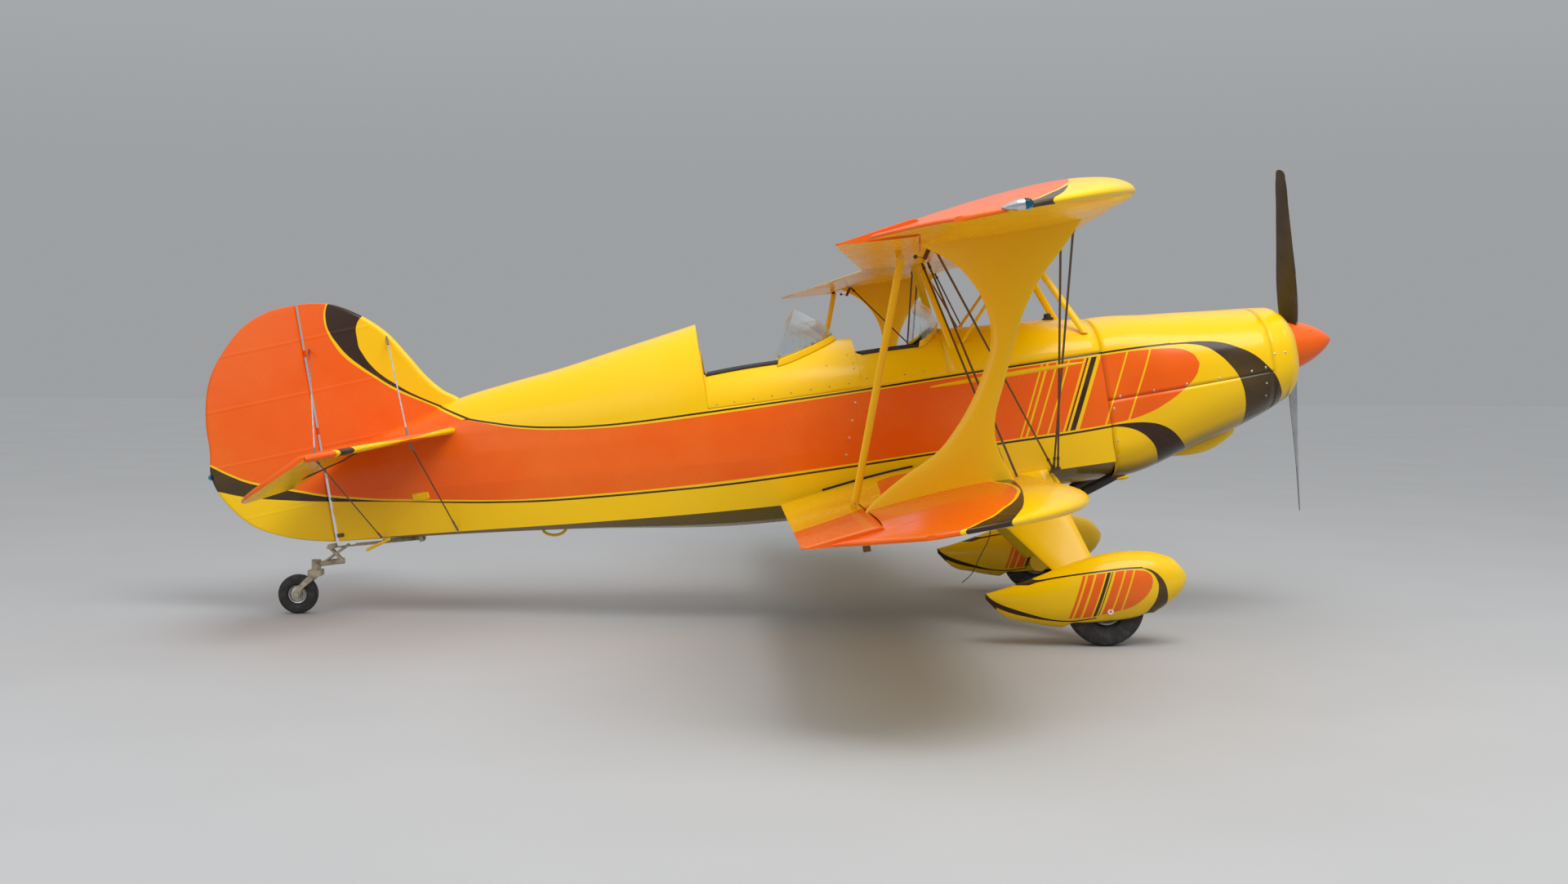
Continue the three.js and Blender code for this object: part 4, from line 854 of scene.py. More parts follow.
# Level plates; the elevators are built level about their hinge, then turned down by the droop
def buildTailplane():
    shares, half = cosineShares(41), tail["plateThickness"] / 2
    lead = alongLine(tail["tailplaneLead"], 60, smooth=False)
    front = np.insert(lead, 2, tail["level"], axis=1)
    rear = front * [0, 1, 1] + [tail["tailplaneRear"], 0, 0]
    thick = roundedHalf(shares, lead[:, 0] - tail["tailplaneRear"], half, 0.028, 0.0)
    parts = [ringSkin(ruledRings(front, rear, shares, thick, [0, 0, 1]))]
    for y in tail["tabs"]:
        low = [tail["elevatorHinge"] + tail["tabBack"], y - tail["tabHalf"], tail["level"] - tail["tabHigh"]]
        high = [tail["tailplaneRear"] + tail["tabFront"], y + tail["tabHalf"],
                tail["level"] + tail["tabHigh"]]
        parts.append(boxSkin(low, high))
    for word, side in sides:
        addPiece(f"tailplane_{word}_skin", onSide(together(*parts), side), tailplanePaint,
                 standsFor=f"tailplane_{word}", crease=50)

    table, nose = np.array(tail["elevator"]), tail["elevatorNose"]
    y = np.unique(np.concatenate([np.linspace(0.062, 1.15, 40), np.linspace(1.15, 1.30, 40), table[:, 0]]))
    chord = np.maximum(np.interp(y, table[:, 0], table[:, 1]), 0.0012)
    front, rear = (np.stack([x + 0 * y, y, 0 * y], -1) for x in (nose, -chord))
    thick = roundedHalf(shares, chord + nose, half, nose, 0.014, 0.35)
    skin = ringSkin(ruledRings(front, rear, shares, thick, [0, 0, 1]))
    points, faces = together(onSide(skin, -1), skin, crossPin([0, 0, 0], tail["tubeHalf"], tail["tube"], 24))
    cos, sin = math.cos(math.radians(tail["droop"])), math.sin(math.radians(tail["droop"]))
    points = points @ np.array([[cos, 0, sin], [0, 1, 0], [-sin, 0, cos]])
    points = points + [tail["elevatorHinge"], 0, tail["level"]]
    addPiece("elevators_skin", (points, faces), elevatorPaint, body="elevators", standsFor="elevators",
             crease=50)
    print("tail made")


gear = {
    "top": {"rear": -0.490, "front": -0.036, "y": 0.352, "z": 0.800},
    "foot": {"rear": -0.050, "front": 0.090, "y": 0.832, "z": 0.215},
    "thickness": 0.034, "track": 0.978, "wheelRadius": 0.180, "tyreWidth": 0.127, "rim": 0.0838,
    "bore": 0.016, "flange": 0.046, "axle": 0.933, "axleHalf": 0.095, "knuckle": 0.834, "knuckleHalf": 0.012,
    "knuckleRadius": 0.052,
    # x, top, bottom, half width of the wheel fairing
    "pant": [[-0.515, 0.327, 0.300, 0.008], [-0.460, 0.333, 0.225, 0.034], [-0.335, 0.352, 0.165, 0.076],
             [-0.143, 0.392, 0.107, 0.112], [0.000, 0.417, 0.094, 0.124], [0.190, 0.415, 0.098, 0.125],
             [0.317, 0.383, 0.147, 0.105], [0.390, 0.335, 0.193, 0.072], [0.428, 0.272, 0.240, 0.022]],
    "pantWall": 0.003, "pantPower": 0.85, "tailRound": 0.03, "noseRound": 0.012,
    "slot": {"rear": -0.185, "front": 0.245, "half": 0.084, "corner": 0.06},
    "bracket": [[-0.026, 0.352, 0.776], [0.004, 0.352, 0.722]], "bracketDepth": 0.030, "bracketWidth": 0.012,
}


# The left wheel fairing: superellipse rings along x, open underneath where the wheel comes out
def pantRings(count=49):
    slot, table, power = gear["slot"], gear["pant"], gear["pantPower"]
    corner, tailEnd, noseEnd = slot["corner"], table[0][0], table[-1][0]
    turn = corner * (1 - np.sin(np.linspace(0, np.pi / 2, 9)))
    edges = [slot["front"] - turn, slot["rear"] + turn, [slot["front"] + 0.0008, slot["rear"] - 0.0008]]
    close = 1 - np.cos(np.linspace(0, np.pi / 2, 6))
    edges += [tailEnd + gear["tailRound"] * close, noseEnd - gear["noseRound"] * close]
    x = np.unique(np.concatenate([stationsBetween(tailEnd, noseEnd, 0.022), *edges]))
    top, bottom, half = upright(smoothRead(table, x).T)
    close = ((x - noseEnd + gear["noseRound"]) / 0.0125).clip(0, 1) ** 2
    close = np.sqrt(np.clip(1 - close, 0.002, 1))[:, None]
    half, tall = half * close, (top - bottom) / 2 * close
    ahead = np.clip(x - slot["front"] + corner, 0, corner)
    behind = np.clip(slot["rear"] + corner - x, 0, corner)
    cut = 2 * corner - np.sqrt(corner**2 - ahead**2) - np.sqrt(corner**2 - behind**2)
    wide = np.where((x >= slot["rear"]) & (x <= slot["front"]), slot["half"] - cut, 0.0)[:, None]
    start = np.arcsin(np.clip(wide / half, 0, 0.999) ** (1 / power))
    angle = start + np.linspace(0, 1, count) * (2 * np.pi - 2 * start)
    across = half * np.sign(np.sin(angle)) * np.abs(np.sin(angle)) ** power
    upward = -tall * np.sign(np.cos(angle)) * np.abs(np.cos(angle)) ** power
    x = np.broadcast_to(x[:, None], across.shape)
    return np.stack([x, gear["track"] + across, (top + bottom) / 2 + upward], -1)


# Tyre and rim profiles. Share of the way out, share of half the width
tyreProfile = [[0.0, 0.66], [0.10, 0.86], [0.30, 0.985], [0.5, 1.0], [0.70, 0.97], [0.86, 0.88], [0.95, 0.72],
               [0.985, 0.52], [1.0, 0.30], [1.0, 0.24], [0.975, 0.225], [0.975, 0.185], [1.0, 0.17],
               [1.0, 0.0]]
rimProfile = [[0.20, 0.75], [0.42, 0.75], [0.47, 0.36], [0.74, 0.30], [0.84, 0.62], [0.95, 0.66], [1.0, 0.60]]


# Half a profile and its mirror image, turned about the axle
def wheelSkin(half, centre):
    profile = half + [[r, -y] for r, y in half[::-1]]
    return sheetSkin(turnedRings(profile + profile[:1], centre, 96), True)


# A wheel's tyre and hub, and six bolts on each side of the hub
def wheelPair(name, size, centre):
    radius, rim, bore, half = size["wheelRadius"], size["rim"], size["bore"], size["tyreWidth"] / 2
    tyre = [[rim + share * (radius - rim), -half * wide] for share, wide in tyreProfile]
    addPiece(f"{name}_tread", wheelSkin(tyre, centre), tyreRubber, body=name, place=groundToRow,
             standsFor=f"{name}_tyre", crease=28)
    edge = rim - 0.0003
    hub = [[bore + 0.0003, -size["flange"]], [bore + 0.010, -size["flange"]]]
    hub += [[bore + share * (edge - bore), -half * wide] for share, wide in rimProfile]
    bolts = []
    for angle in fullTurn(6):
        way = (bore + edge) / 2 * np.array([math.cos(angle), 0, math.sin(angle)])
        bolts += [crossPin(np.array(centre) + way + [0, out * half * 0.34, 0], half * 0.06, edge * 0.07, 6)
                  for out in (-1, 1)]
    addPiece(f"{name}_hub", together(wheelSkin(hub, centre), *bolts), wheelMetal, body=name,
             place=groundToRow,
             standsFor=f"{name}_rim", crease=28)


# Legs ruled from the hull down to the axle, knuckles, axles, fairings and wheels
def buildMainGear():
    axleX, _, axleZ = groundToAir([0, 0, gear["wheelRadius"]])
    top, foot = gear["top"], gear["foot"]
    front, rear = (np.linspace([top[edge], top["y"], top["z"]], [foot[edge], foot["y"], foot["z"]], 24)
                   for edge in ("front", "rear"))
    shares = cosineShares(31)
    half = roundedHalf(shares, front[:, 0] - rear[:, 0], gear["thickness"] / 2, 0.05, 0.09)
    knuckle = crossPin([axleX, gear["knuckle"], axleZ], gear["knuckleHalf"], gear["knuckleRadius"], 32)
    leg = together(ringSkin(ruledRings(front, rear, shares, half, [0, 1, 0])), knuckle)
    addPair("gear_leg_{}_cover", leg, plainYellow, standsFor="gear_leg_{}", crease=45)
    addPair("axle_{}", crossPin([axleX, gear["axle"], axleZ], gear["axleHalf"], gear["bore"], 24),
            brightSteel)
    addPair("leg_bracket_{}", ovalBar(*gear["bracket"], gear["bracketDepth"], gear["bracketWidth"], 16),
            plainYellow)
    for pant in addPair("wheel_pant_{}_shell", sheetSkin(pantRings(), closed=True), [pantPaint, paintedShadeBlack],
                        standsFor="wheel_pant_{}", crease=50):
        # The fairing's inner wall takes black as painted shade
        thicken(pant, gear["pantWall"]).modifiers["wall"].material_offset = 1
    for word, side in sides:
        wheelPair(f"main_wheel_{word}", gear, (0, side * gear["track"], gear["wheelRadius"]))
    print("main gear made")


tailWheel = {
    "wheelRadius": 0.100, "tyreWidth": 0.066, "rim": 0.048, "bore": 0.009, "flange": 0.022,
    "x": -3.964, "pivotX": -3.872, "head": 0.225, "headHigh": 0.052, "headMiddle": 0.028, "headRadius": 0.024,
    # the leaf spring, in the airframe's axes
    "root": -3.205, "leaves": [-3.707, -3.56, -3.42], "rootHigh": 0.928, "fall": 0.034, "leafStep": 0.0065,
    "leafWide": 0.022, "leafEdge": [[0, 0.001], [0.06, 0.003], [0.94, 0.003], [1, 0.001]],
    "knee": [-3.640, 0, 0.884], "stays": [[[-3.696, 0.016, 0.968], [-3.640, 0.012, 0.884]],
                                          [[-3.596, 0.016, 0.962], [-3.752, 0.008, 0.884]]], "stay": 0.007,
    "clamps": [[[-3.232, -0.027, 0.918], [-3.212, 0.027, 0.952]],
               [[-3.70, -0.027, 0.955], [-3.66, 0.027, 0.978]]],
    # the fork, in ground axes: x from the wheel, height and half width along an arm
    "crown": [-0.034, 0.030, 0.048], "crownHigh": [-0.0303, -0.0003],
    "arm": [[0, 0.082, 0.010], [0, 0.100, 0.019], [0.01, 0.130, 0.019], [0.05, 0.165, 0.022],
            [0.092, 0.205, 0.026]],
    "armOut": 0.042, "armEdge": [[0, 0.002], [0.08, 0.004], [0.92, 0.004], [1, 0.002]],
    "pinHalf": 0.052, "nut": 0.051, "nutHalf": 0.005, "nutRadius": 0.013,
}


# Three leaves, each shorter and above the last, the head with its stays, then the fork and the wheel
def buildTailWheel():
    x, pivot, head, high = (tailWheel[key] for key in ("x", "pivotX", "head", "wheelRadius"))
    wheelPair("tail_wheel", tailWheel, (x, 0, high))
    shares, half = np.array(tailWheel["leafEdge"]).T
    long, parts = tailWheel["leaves"][0] - tailWheel["root"], []
    for k, end in enumerate(tailWheel["leaves"]):
        lineX = np.linspace(tailWheel["root"], end, 12)
        fall = (lineX - tailWheel["root"]) / long * tailWheel["fall"]
        level = np.stack([lineX, 0 * lineX, tailWheel["rootHigh"] + fall + tailWheel["leafStep"] * k], -1)
        wide = np.array([0, tailWheel["leafWide"], 0])
        parts.append(ringSkin(ruledRings(level - wide, level + wide, shares, half, [0, 0, 1])))
    low, over, centre = (groundToAir([pivot, 0, head + up])
                         for up in (0, tailWheel["headHigh"], tailWheel["headMiddle"]))
    parts.append(straightBar(low, over, tailWheel["headRadius"], 28))
    arm = np.linspace(np.array(tailWheel["knee"]) + [0.008, 0, 0], centre, 8)
    parts.append(ringSkin(barAlong(arm, np.linspace(0.016, 0.014, 8), 16)))
    for ends in tailWheel["stays"]:
        parts += [onSide(straightBar(*ends, tailWheel["stay"]), side) for _, side in sides]
    parts += [boxSkin(*corners) for corners in tailWheel["clamps"]]
    addPiece("tail_spring_leaves", together(*parts), beigeEnamel, standsFor="tail_spring", crease=40)

    (back, ahead, out), (under, over) = tailWheel["crown"], tailWheel["crownHigh"]
    parts = [boxSkin((pivot + back, -out, head + under), (pivot + ahead, out, head + over))]
    way = alongLine(tailWheel["arm"], 14, smooth=False)
    front, rear = (np.stack([x + way[:, 0] + side * way[:, 2], np.full(14, tailWheel["armOut"]), way[:, 1]],
                            -1)
                   for side in (1, -1))
    shares, half = np.array(tailWheel["armEdge"]).T
    arm = ringSkin(ruledRings(front, rear, shares, half, [0, 1, 0]))
    nut = crossPin([x, tailWheel["nut"], high], tailWheel["nutHalf"], tailWheel["nutRadius"], 6)
    parts += [onSide(skin, side) for skin in (arm, nut) for _, side in sides]
    parts.append(crossPin([x, 0, high], tailWheel["pinHalf"], tailWheel["bore"], 20))
    addPiece("tail_fork_arms", together(*parts), beigeEnamel, body="tail_fork", place=groundToRow,
             standsFor="tail_fork", crease=40)
    print("tail wheel made")


propeller = {
    "x": 1.368, "height": 1.200, "lean": 15.7, "hubRadius": 0.058, "hubRear": -0.036, "hubFront": 0.040,
    # radius, chord, thickness, pitch in degrees
    "blade": [[0.045, 0.050, 0.044, 55], [0.135, 0.106, 0.030, 40], [0.300, 0.130, 0.020, 34],
              [0.520, 0.118, 0.014, 26], [0.740, 0.098, 0.010, 20], [0.880, 0.080, 0.007, 17],
              [0.925, 0.052, 0.005, 16]],
    "round": 0.88, "roundChord": 0.080,
    "spinnerBack": 1.338, "spinnerLength": 0.242, "spinnerRadius": 0.130, "spinnerHole": 0.064,
}


# From the propeller's own axes, turned about x by its lean, to the row frame
def spinToRow(points):
    lean = math.radians(propeller["lean"])
    turn = np.array([[1, 0, 0], [0, math.cos(lean), -math.sin(lean)], [0, math.sin(lean), math.cos(lean)]])
    return airToRow(np.asarray(points, float) @ turn.T + [propeller["x"], 0, propeller["height"]])


# A blade: thin lens sections, twisted by the pitch, their width drawn in to a round tip
def bladeRings(count=33):
    root, start, tip = propeller["blade"][0][0], propeller["round"], propeller["blade"][-1][0]
    out = np.sin(np.linspace(0, np.pi / 2, 10))[1:]
    r = np.concatenate([np.linspace(root, start, 40), start + (tip - start) * out])
    chord, thick, pitch = smoothRead(propeller["blade"], r).T
    closing = np.sqrt(np.clip(1 - ((r - start) / (tip - start)).clip(0, 1) ** 4, 0.01, 1))
    chord = np.where(r > start, propeller["roundChord"] * closing, chord)
    turn, angle = np.radians(pitch)[:, None], fullTurn(count)
    along = chord[:, None] / 2 * np.cos(angle)
    out = thick[:, None] / 2 * np.sin(angle) * (1 + 0.25 * np.cos(angle))
    x = along * np.sin(turn) + out * np.cos(turn)
    return np.stack([x, out * np.sin(turn) - along * np.cos(turn), np.broadcast_to(r[:, None], x.shape)], -1)


# Two blades half a turn apart on a hub; the spinner's radius falls as a power of the way along
def buildPropeller():
    hub = straightBar([propeller["hubRear"], 0, 0], [propeller["hubFront"], 0, 0], propeller["hubRadius"], 48)
    blade = bladeRings()
    blades = addPiece("propeller_blades", together(ringSkin(blade), ringSkin(blade * [1, -1, -1]), hub),
                      [bladePaint, bladeMetal], body="propeller", standsFor="propeller", crease=50,
                      place=spinToRow)
    secondFinish(blades, lambda at, out: out[:, 0] > 0.0)
    t = np.concatenate([np.linspace(0, 0.9, 40), 0.9 + 0.1 * np.sin(np.linspace(0, np.pi / 2, 16))[1:]])
    back, radius = propeller["spinnerBack"] - propeller["x"], propeller["spinnerRadius"]
    nose = np.stack([radius * (1 - t**1.6) ** 0.72, back + t * propeller["spinnerLength"]], -1)
    profile = np.vstack([[propeller["spinnerHole"], back + 0.002], [radius - 0.001, back], nose])
    addPiece("spinner_shell", sheetSkin(turnedRings(profile, (0, 0, 0), 96, along=0), True), spinnerPaint,
             body="propeller", standsFor="spinner", crease=40, place=spinToRow)
    print("propeller made")


# base front x, base rear x, x and height of the top edge's ends, of its middle, half width
windshields = {"rear": [-0.959, -1.325, -1.274, 1.566, -1.152, 1.799, 0.286],
               "front": [-0.437, -0.590, -0.560, 1.545, -0.515, 1.738, 0.280]}
windshield = {"spread": 84, "glass": 0.003, "arch": 0.6, "bow": 0.036, "frame": 0.036, "frameThick": 0.0075,
              "narrow": 0.97}


# Height of the decking at x and y: half an ellipse over the longerons
def deckHeight(x, y):
    half, rail, top = deckFacts(x, coamingTops)
    return rail + (top - rail) * np.sqrt(np.clip(1 - (y / half) ** 2, 0, 1))


# A windshield's pane: from a curved foot on the decking up to an arched top edge that leans back in its own
# plane; share runs from foot to top and may differ from column to column
def panePoints(base, share, columns=57):
    front, rear, endX, endZ, topX, topZ, half = base
    spread = np.radians(windshield["spread"])
    angle = spread * np.linspace(-1, 1, columns)[None, :]
    c, s = np.cos(angle), np.sin(angle)
    footX, footY = rear + (front - rear) * c, half * s
    footZ = deckHeight(footX, footY) + 0.001
    lift = np.clip((c - np.cos(spread)) / (1 - np.cos(spread)), 0, 1) ** windshield["arch"]
    overX, overZ = endX + (topX - endX) * lift, endZ + (topZ - endZ) * lift
    overY = half * s * windshield["narrow"]
    bow = windshield["bow"] * np.sin(np.pi * share) * c
    return np.stack([footX + (overX - footX) * share + bow, footY + (overY - footY) * share,
                     footZ + (overZ - footZ) * share], -1)


# The pane, and round its foot a painted frame of even width
def buildWindshields():
    rows = np.linspace(0.0, 1, 24)[:, None]
    for word, base in windshields.items():
        thicken(addPiece(f"{word}_windshield_pane", sheetSkin(panePoints(base, rows)), paneGlass,
                         standsFor=f"{word}_windshield", crease=60), windshield["glass"])
        tall = np.linalg.norm(panePoints(base, 1.0)[0] - panePoints(base, 0.0)[0], axis=1)
        share = rows[:8] / rows[7] * np.clip(windshield["frame"] / tall, 0, 0.8)
        thicken(addPiece(f"{word}_windshield_foot", sheetSkin(panePoints(base, share)), plainYellow,
                         crease=40),
                windshield["frameThick"], 0.0)
    print("windshields made")


cockpits = {"rear": {"back": -1.600, "panel": -1.085, "floor": 0.860},
            "front": {"back": -0.885, "panel": -0.505, "floor": 0.850}}
# Places are from the seat back and the floor
seat = {
    "long": 0.34, "wide": 0.40, "thick": 0.085, "channels": 5, "crown": 0.022, "press": 0.010, "fill": 0.7,
    "cushion": [0.18, 0, 0.105],
    "restTall": 0.43, "restWide": 0.38, "restThick": 0.065, "lean": 84, "rest": [0.045, 0, 0.37],
    "pan": [[0.05, -0.15], [0.30, 0.15, 0.064]], "panBottom": 0.80,
    "plate": [[0.001, -0.19, 0.10], [0.008, 0.19, 0.58]],
}
dials = {
    "places": [[-0.20, 1.46], [-0.10, 1.46], [0.0, 1.46], [0.10, 1.46], [0.20, 1.46],
               [-0.15, 1.37], [-0.05, 1.37], [0.05, 1.37], [0.15, 1.37]],
    "ring": [[0.036, -0.001], [0.036, -0.008], [0.040, -0.009], [0.043, -0.006], [0.043, -0.0005]],
    "face": [[0.0362, -0.0008], [0.0362, -0.004], [0.0005, -0.0042]],
    "needle": 0.028, "needleRadius": 0.0012, "needleOut": 0.0055, "firstTurn": 0.7, "turnStep": 1.9,
}


# A crowned pad: a closed superellipse pillow in plan, thickest at the middle, its edge drawn in between the
# corners, with sewn channels pressed across it
def padSkin(long, wide, thick, rows=96, columns=64):
    u, w = fullTurn(columns)[None, :], np.linspace(-np.pi / 2, np.pi / 2, rows)[:, None]
    reach = np.sign(np.cos(w)) * np.abs(np.cos(w)) ** 0.42 * (1 - 0.035 * np.cos(2 * u) ** 2)
    across = np.sign(np.sin(u)) * np.abs(np.sin(u)) ** 0.36 * reach * wide / 2
    forward = np.sign(np.cos(u)) * np.abs(np.cos(u)) ** 0.36 * reach * long / 2
    inX, inY = np.clip(1 - (forward / (long / 2)) ** 2, 0, 1), np.clip(1 - (across / (wide / 2)) ** 2, 0, 1)
    pressed = np.abs(np.cos(np.pi * seat["channels"] * (across / wide + 0.5))) ** 9
    high = np.sin(w) * thick / 2
    high = high + (high > 0) * (seat["crown"] * np.sqrt(inX * inY) - seat["press"] * pressed * np.sqrt(inX))
    return np.stack([forward, across, high], -1)


# A part of the frame that shows takes a finish of its own
def dress(node, finish):
    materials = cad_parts[node].data.materials
    materials.clear()
    materials.append(finish)


# Instruments: a ring, a dark face and a needle for each, turned to face aft
def buildPanel(word, x):
    dress(f"{word}_panel", panelBlack)
    rings, faces, needles = [], [], []
    for k, (y, z) in enumerate(dials["places"]):
        rings.append(ringSkin(turnedRings(dials["ring"], (x, y, z), 40, along=0)))
        faces.append(ringSkin(turnedRings(dials["face"], (x, y, z), 40, along=0)))
        turn, middle = dials["firstTurn"] + dials["turnStep"] * k, np.array([x - dials["needleOut"], y, z])
        tip = middle + dials["needle"] * np.array([0, math.sin(turn), math.cos(turn)])
        needles.append(straightBar(middle, tip, dials["needleRadius"], 6))
    addPiece(f"{word}_dial_rings", together(*rings), rimRubber)
    addPiece(f"{word}_dial_faces", together(*faces), dialFace)
    addPiece(f"{word}_dial_needles", together(*needles), needleWhite)


# Cushion and leaning rest for each seat, with their pan and back plate, then the panel and stick
def buildCockpits():
    cos, sin = math.cos(math.radians(seat["lean"])), math.sin(math.radians(seat["lean"]))
    cushion = padSkin(seat["long"], seat["wide"], seat["thick"])
    rest = padSkin(seat["restTall"], seat["restWide"], seat["restThick"]) @ np.array(
        [[cos, 0, sin], [0, 1, 0], [sin, 0, -cos]])
    for word, facts in cockpits.items():
        place = np.array([facts["back"], 0, facts["floor"]])
        pads = together(ringSkin(cushion + place + seat["cushion"]), ringSkin(rest + place + seat["rest"]))
        pads = addPiece(f"{word}_seat_pads", pads, seatHide, standsFor=f"{word}_seat", crease=60)
        low, high = seat["pan"]
        pan = boxSkin((facts["back"] + low[0], low[1], seat["panBottom"]), place + high)
        plate = boxSkin(*(place + corner for corner in seat["plate"]))
        addPiece(f"{word}_seat_pan", together(pan, plate), dullSteel)
        buildPanel(word, facts["panel"])
        dress(f"{word}_stick", rimRubber)
    print("cockpits made")


exhaust = {"y": 0.150, "radius": 0.024, "wall": 0.002,
           "path": [[0.560, 1.0097], [0.548, 0.900], [0.490, 0.780], [0.410, 0.722], [0.316, 0.687],
                    [0.155, 0.633]]}
handle = {"radius": 0.007, "path": [[-2.606, 0, 0.895], [-2.600, 0, 0.866], [-2.573, 0, 0.846],
                                    [-2.542, 0, 0.838], [-2.506, 0, 0.844], [-2.484, 0, 0.862],
                                    [-2.477, 0, 0.888]]}
# Where the tail's wires meet the fin, the tailplane and the hull: x, y, z
tailWires = {
    "upper": [[[-3.223, 0.018, 1.976], [-3.112, 0.520, 1.472]],
              [[-3.622, 0.018, 1.975], [-3.430, 1.120, 1.472]]],
    "lower": [[[-3.014, 0.145, 0.962], [-3.112, 0.520, 1.442]],
              [[-3.414, 0.070, 0.980], [-3.430, 1.120, 1.442]]],
    "depth": 0.007, "width": 0.004, "into": 0.012, "fork": 0.055, "forkRadius": 0.0055,
}
# Rod that trims the elevator's tab: its fixed half ends on the hinge line, the other rides with the elevator
trimRod = {
    "front": [-3.400, 0.400, 1.428], "hinge": [-3.462, 0.400, 1.402], "horn": [-3.800, 0.400, 1.310],
    "radius": 0.004, "foot": [0.014, -0.006, 0.009], "hornFrom": [-0.006, 0, -0.006],
    "hornTo": [0.030, 0, 0.045], "hornSize": [0.030, 0.006],
}
# Bars of the grip on the hull's side: height from the middle and radius
sideGrip = {"x": -3.172, "z": 1.152, "half": 0.040, "out": 0.001, "post": 0.015, "postRadius": 0.004,
            "bars": [[-0.014, 0.0045], [-0.005, 0.006], [0.005, 0.006], [0.014, 0.0045]]}
# height, half height, reach ahead
postStraps = {"rows": [[1.207, 0.007, 0.046], [1.142, 0.017, 0.030], [1.016, 0.009, 0.034]],
              "stand": 0.0025, "boltBack": 0.010, "boltOut": 0.004, "bolt": 0.005}
# Whip aerial under the belly, hanging back
whip = {"radius": 0.0022, "path": [[-0.300, -0.05, 0.690], [-0.318, -0.05, 0.600], [-0.335, -0.05, 0.478],
                                   [-0.402, -0.05, 0.378], [-0.462, -0.05, 0.294], [-0.514, -0.05, 0.260]]}
navPod = {"y": 3.625, "z": 1.941, "rear": -0.590, "front": -0.486, "half": 0.019}
fuelCap = {"place": (0.140, 0, 1.528),
           "profile": [[0.030, -0.004], [0.030, 0.010], [0.020, 0.013], [0.018, 0.030],
                                                   [0.012, 0.034], [0.001, 0.035]]}
tailLight = {"place": (-4.216, 0, 1.412), "profile": [[0.016, 0.0], [0.016, -0.012], [0.013, -0.020],
                                                      [0.007, -0.0255], [0.001, -0.027]]}
tailTube = {"ends": [[-3.500, -0.050, 0.922], [-3.370, -0.085, 0.962]], "radius": 0.008}
# Ring that lines the valve hole in a wheel fairing
grommet = {"x": 0.004, "z": 0.172,
           "profile": [[0.006, -0.004], [0.014, -0.004], [0.014, 0.002], [0.011, 0.004],
                                               [0.006, 0.003], [0.006, -0.004]]}


# The ring sits at the height of the fairing's outer side nearest to the valve
def grommetSkin():
    shell = pantRings().reshape(-1, 3)
    off = np.hypot(shell[:, 0] - grommet["x"], shell[:, 2] - grommet["z"]) + 9 * (shell[:, 1] < gear["track"])
    centre = groundToAir([grommet["x"], 0, grommet["z"]]) + [0, shell[np.argmin(off), 1], 0]
    return sheetSkin(turnedRings(grommet["profile"], centre, 28), True)


# Wires from point to point, their ends reaching a little into what they meet
def buildTailWires():
    ends = []
    for word, finish in (("upper", brightSteel), ("lower", wireBrown)):
        wires = []
        for start, end in np.array(tailWires[word]):
            wires.append(ovalBar(start, end, tailWires["depth"], tailWires["width"], 10, 3))
            unit = (end - start) / np.linalg.norm(end - start)
            ends += [straightBar(foot - way * tailWires["into"], foot + way * tailWires["fork"],
                                 tailWires["forkRadius"], 10) for foot, way in ((start, unit), (end, -unit))]
        addPair(f"tail_{word}_wires_{{}}", together(*wires), finish)
    addPair("tail_wire_ends_{}", together(*ends), dullSteel)


# The front half ends on the elevators' hinge line, the rear half is built from there to the horn
def buildTrimRod():
    front, hinge, horn = (np.array(trimRod[spot]) for spot in ("front", "hinge", "horn"))
    over, under, radius = trimRod["foot"]
    foot = straightBar(front + [0, 0, over], front + [0, 0, under], radius)
    addPair("trim_rod_front_{}", together(foot, straightBar(front, hinge, trimRod["radius"], 10)),
            bracketRust,
            slot="bare_steel")
    plate = ovalBar(horn + trimRod["hornFrom"], horn + trimRod["hornTo"], *trimRod["hornSize"], 14)
    addPair("trim_rod_rear_{}", together(straightBar(hinge, horn, trimRod["radius"], 10), plate), bracketRust,
            body="elevators", slot="bare_steel")


# Two posts on the hull's side with four bars between them
def buildSideGrip():
    x = sideGrip["x"] + np.array([-1, 1]) * sideGrip["half"]
    y = hullHalf(x, [sideGrip["z"]] * 2) + sideGrip["out"]
    spot = lambda end, up: [x[end], y[end], sideGrip["z"] + up]
    bars = [straightBar(spot(end, -sideGrip["post"]), spot(end, sideGrip["post"]), sideGrip["postRadius"], 10)
            for end in (0, 1)]
    bars += [straightBar(spot(0, up), spot(1, up), radius, 10) for up, radius in sideGrip["bars"]]
    addPair("side_grip_{}", together(*bars), plainYellow)


# A pod that widens towards the front, its last part a round lens
def buildNavPod():
    x = np.linspace(navPod["rear"], navPod["front"], 26)
    radius = navPod["half"] * np.clip(np.linspace(0, 2, 26), 0.06, 1) ** 0.6
    radius[-7:] = navPod["half"] * np.sqrt(np.clip(1 - np.linspace(0, 1, 7) ** 2, 0.01, 1))
    rings = barAlong([[at, navPod["y"], navPod["z"]] for at in x], radius, 24)
    addPair("nav_pod_{}", ringSkin(rings[:-7]), brightSteel)
    addPair("nav_lens_{}", ringSkin(rings[-8:]), lensGlass)


# Straps round the fin's post, a bolt across each near its front
def buildPostStraps():
    rear, wide = tail["finPost"] - 0.001, tail["thickness"] / 2 + postStraps["stand"]
    for k, (height, up, ahead) in enumerate(postStraps["rows"]):
        strap = boxSkin((rear, -wide, height - up), (rear + ahead, wide, height + up))
        bolt = crossPin([rear + ahead - postStraps["boltBack"], 0, height], wide + postStraps["boltOut"],
                        postStraps["bolt"])
        addPiece(f"post_strap_{k + 1}", together(strap, bolt), [bracketRust, plainYellow, bracketRust][k])


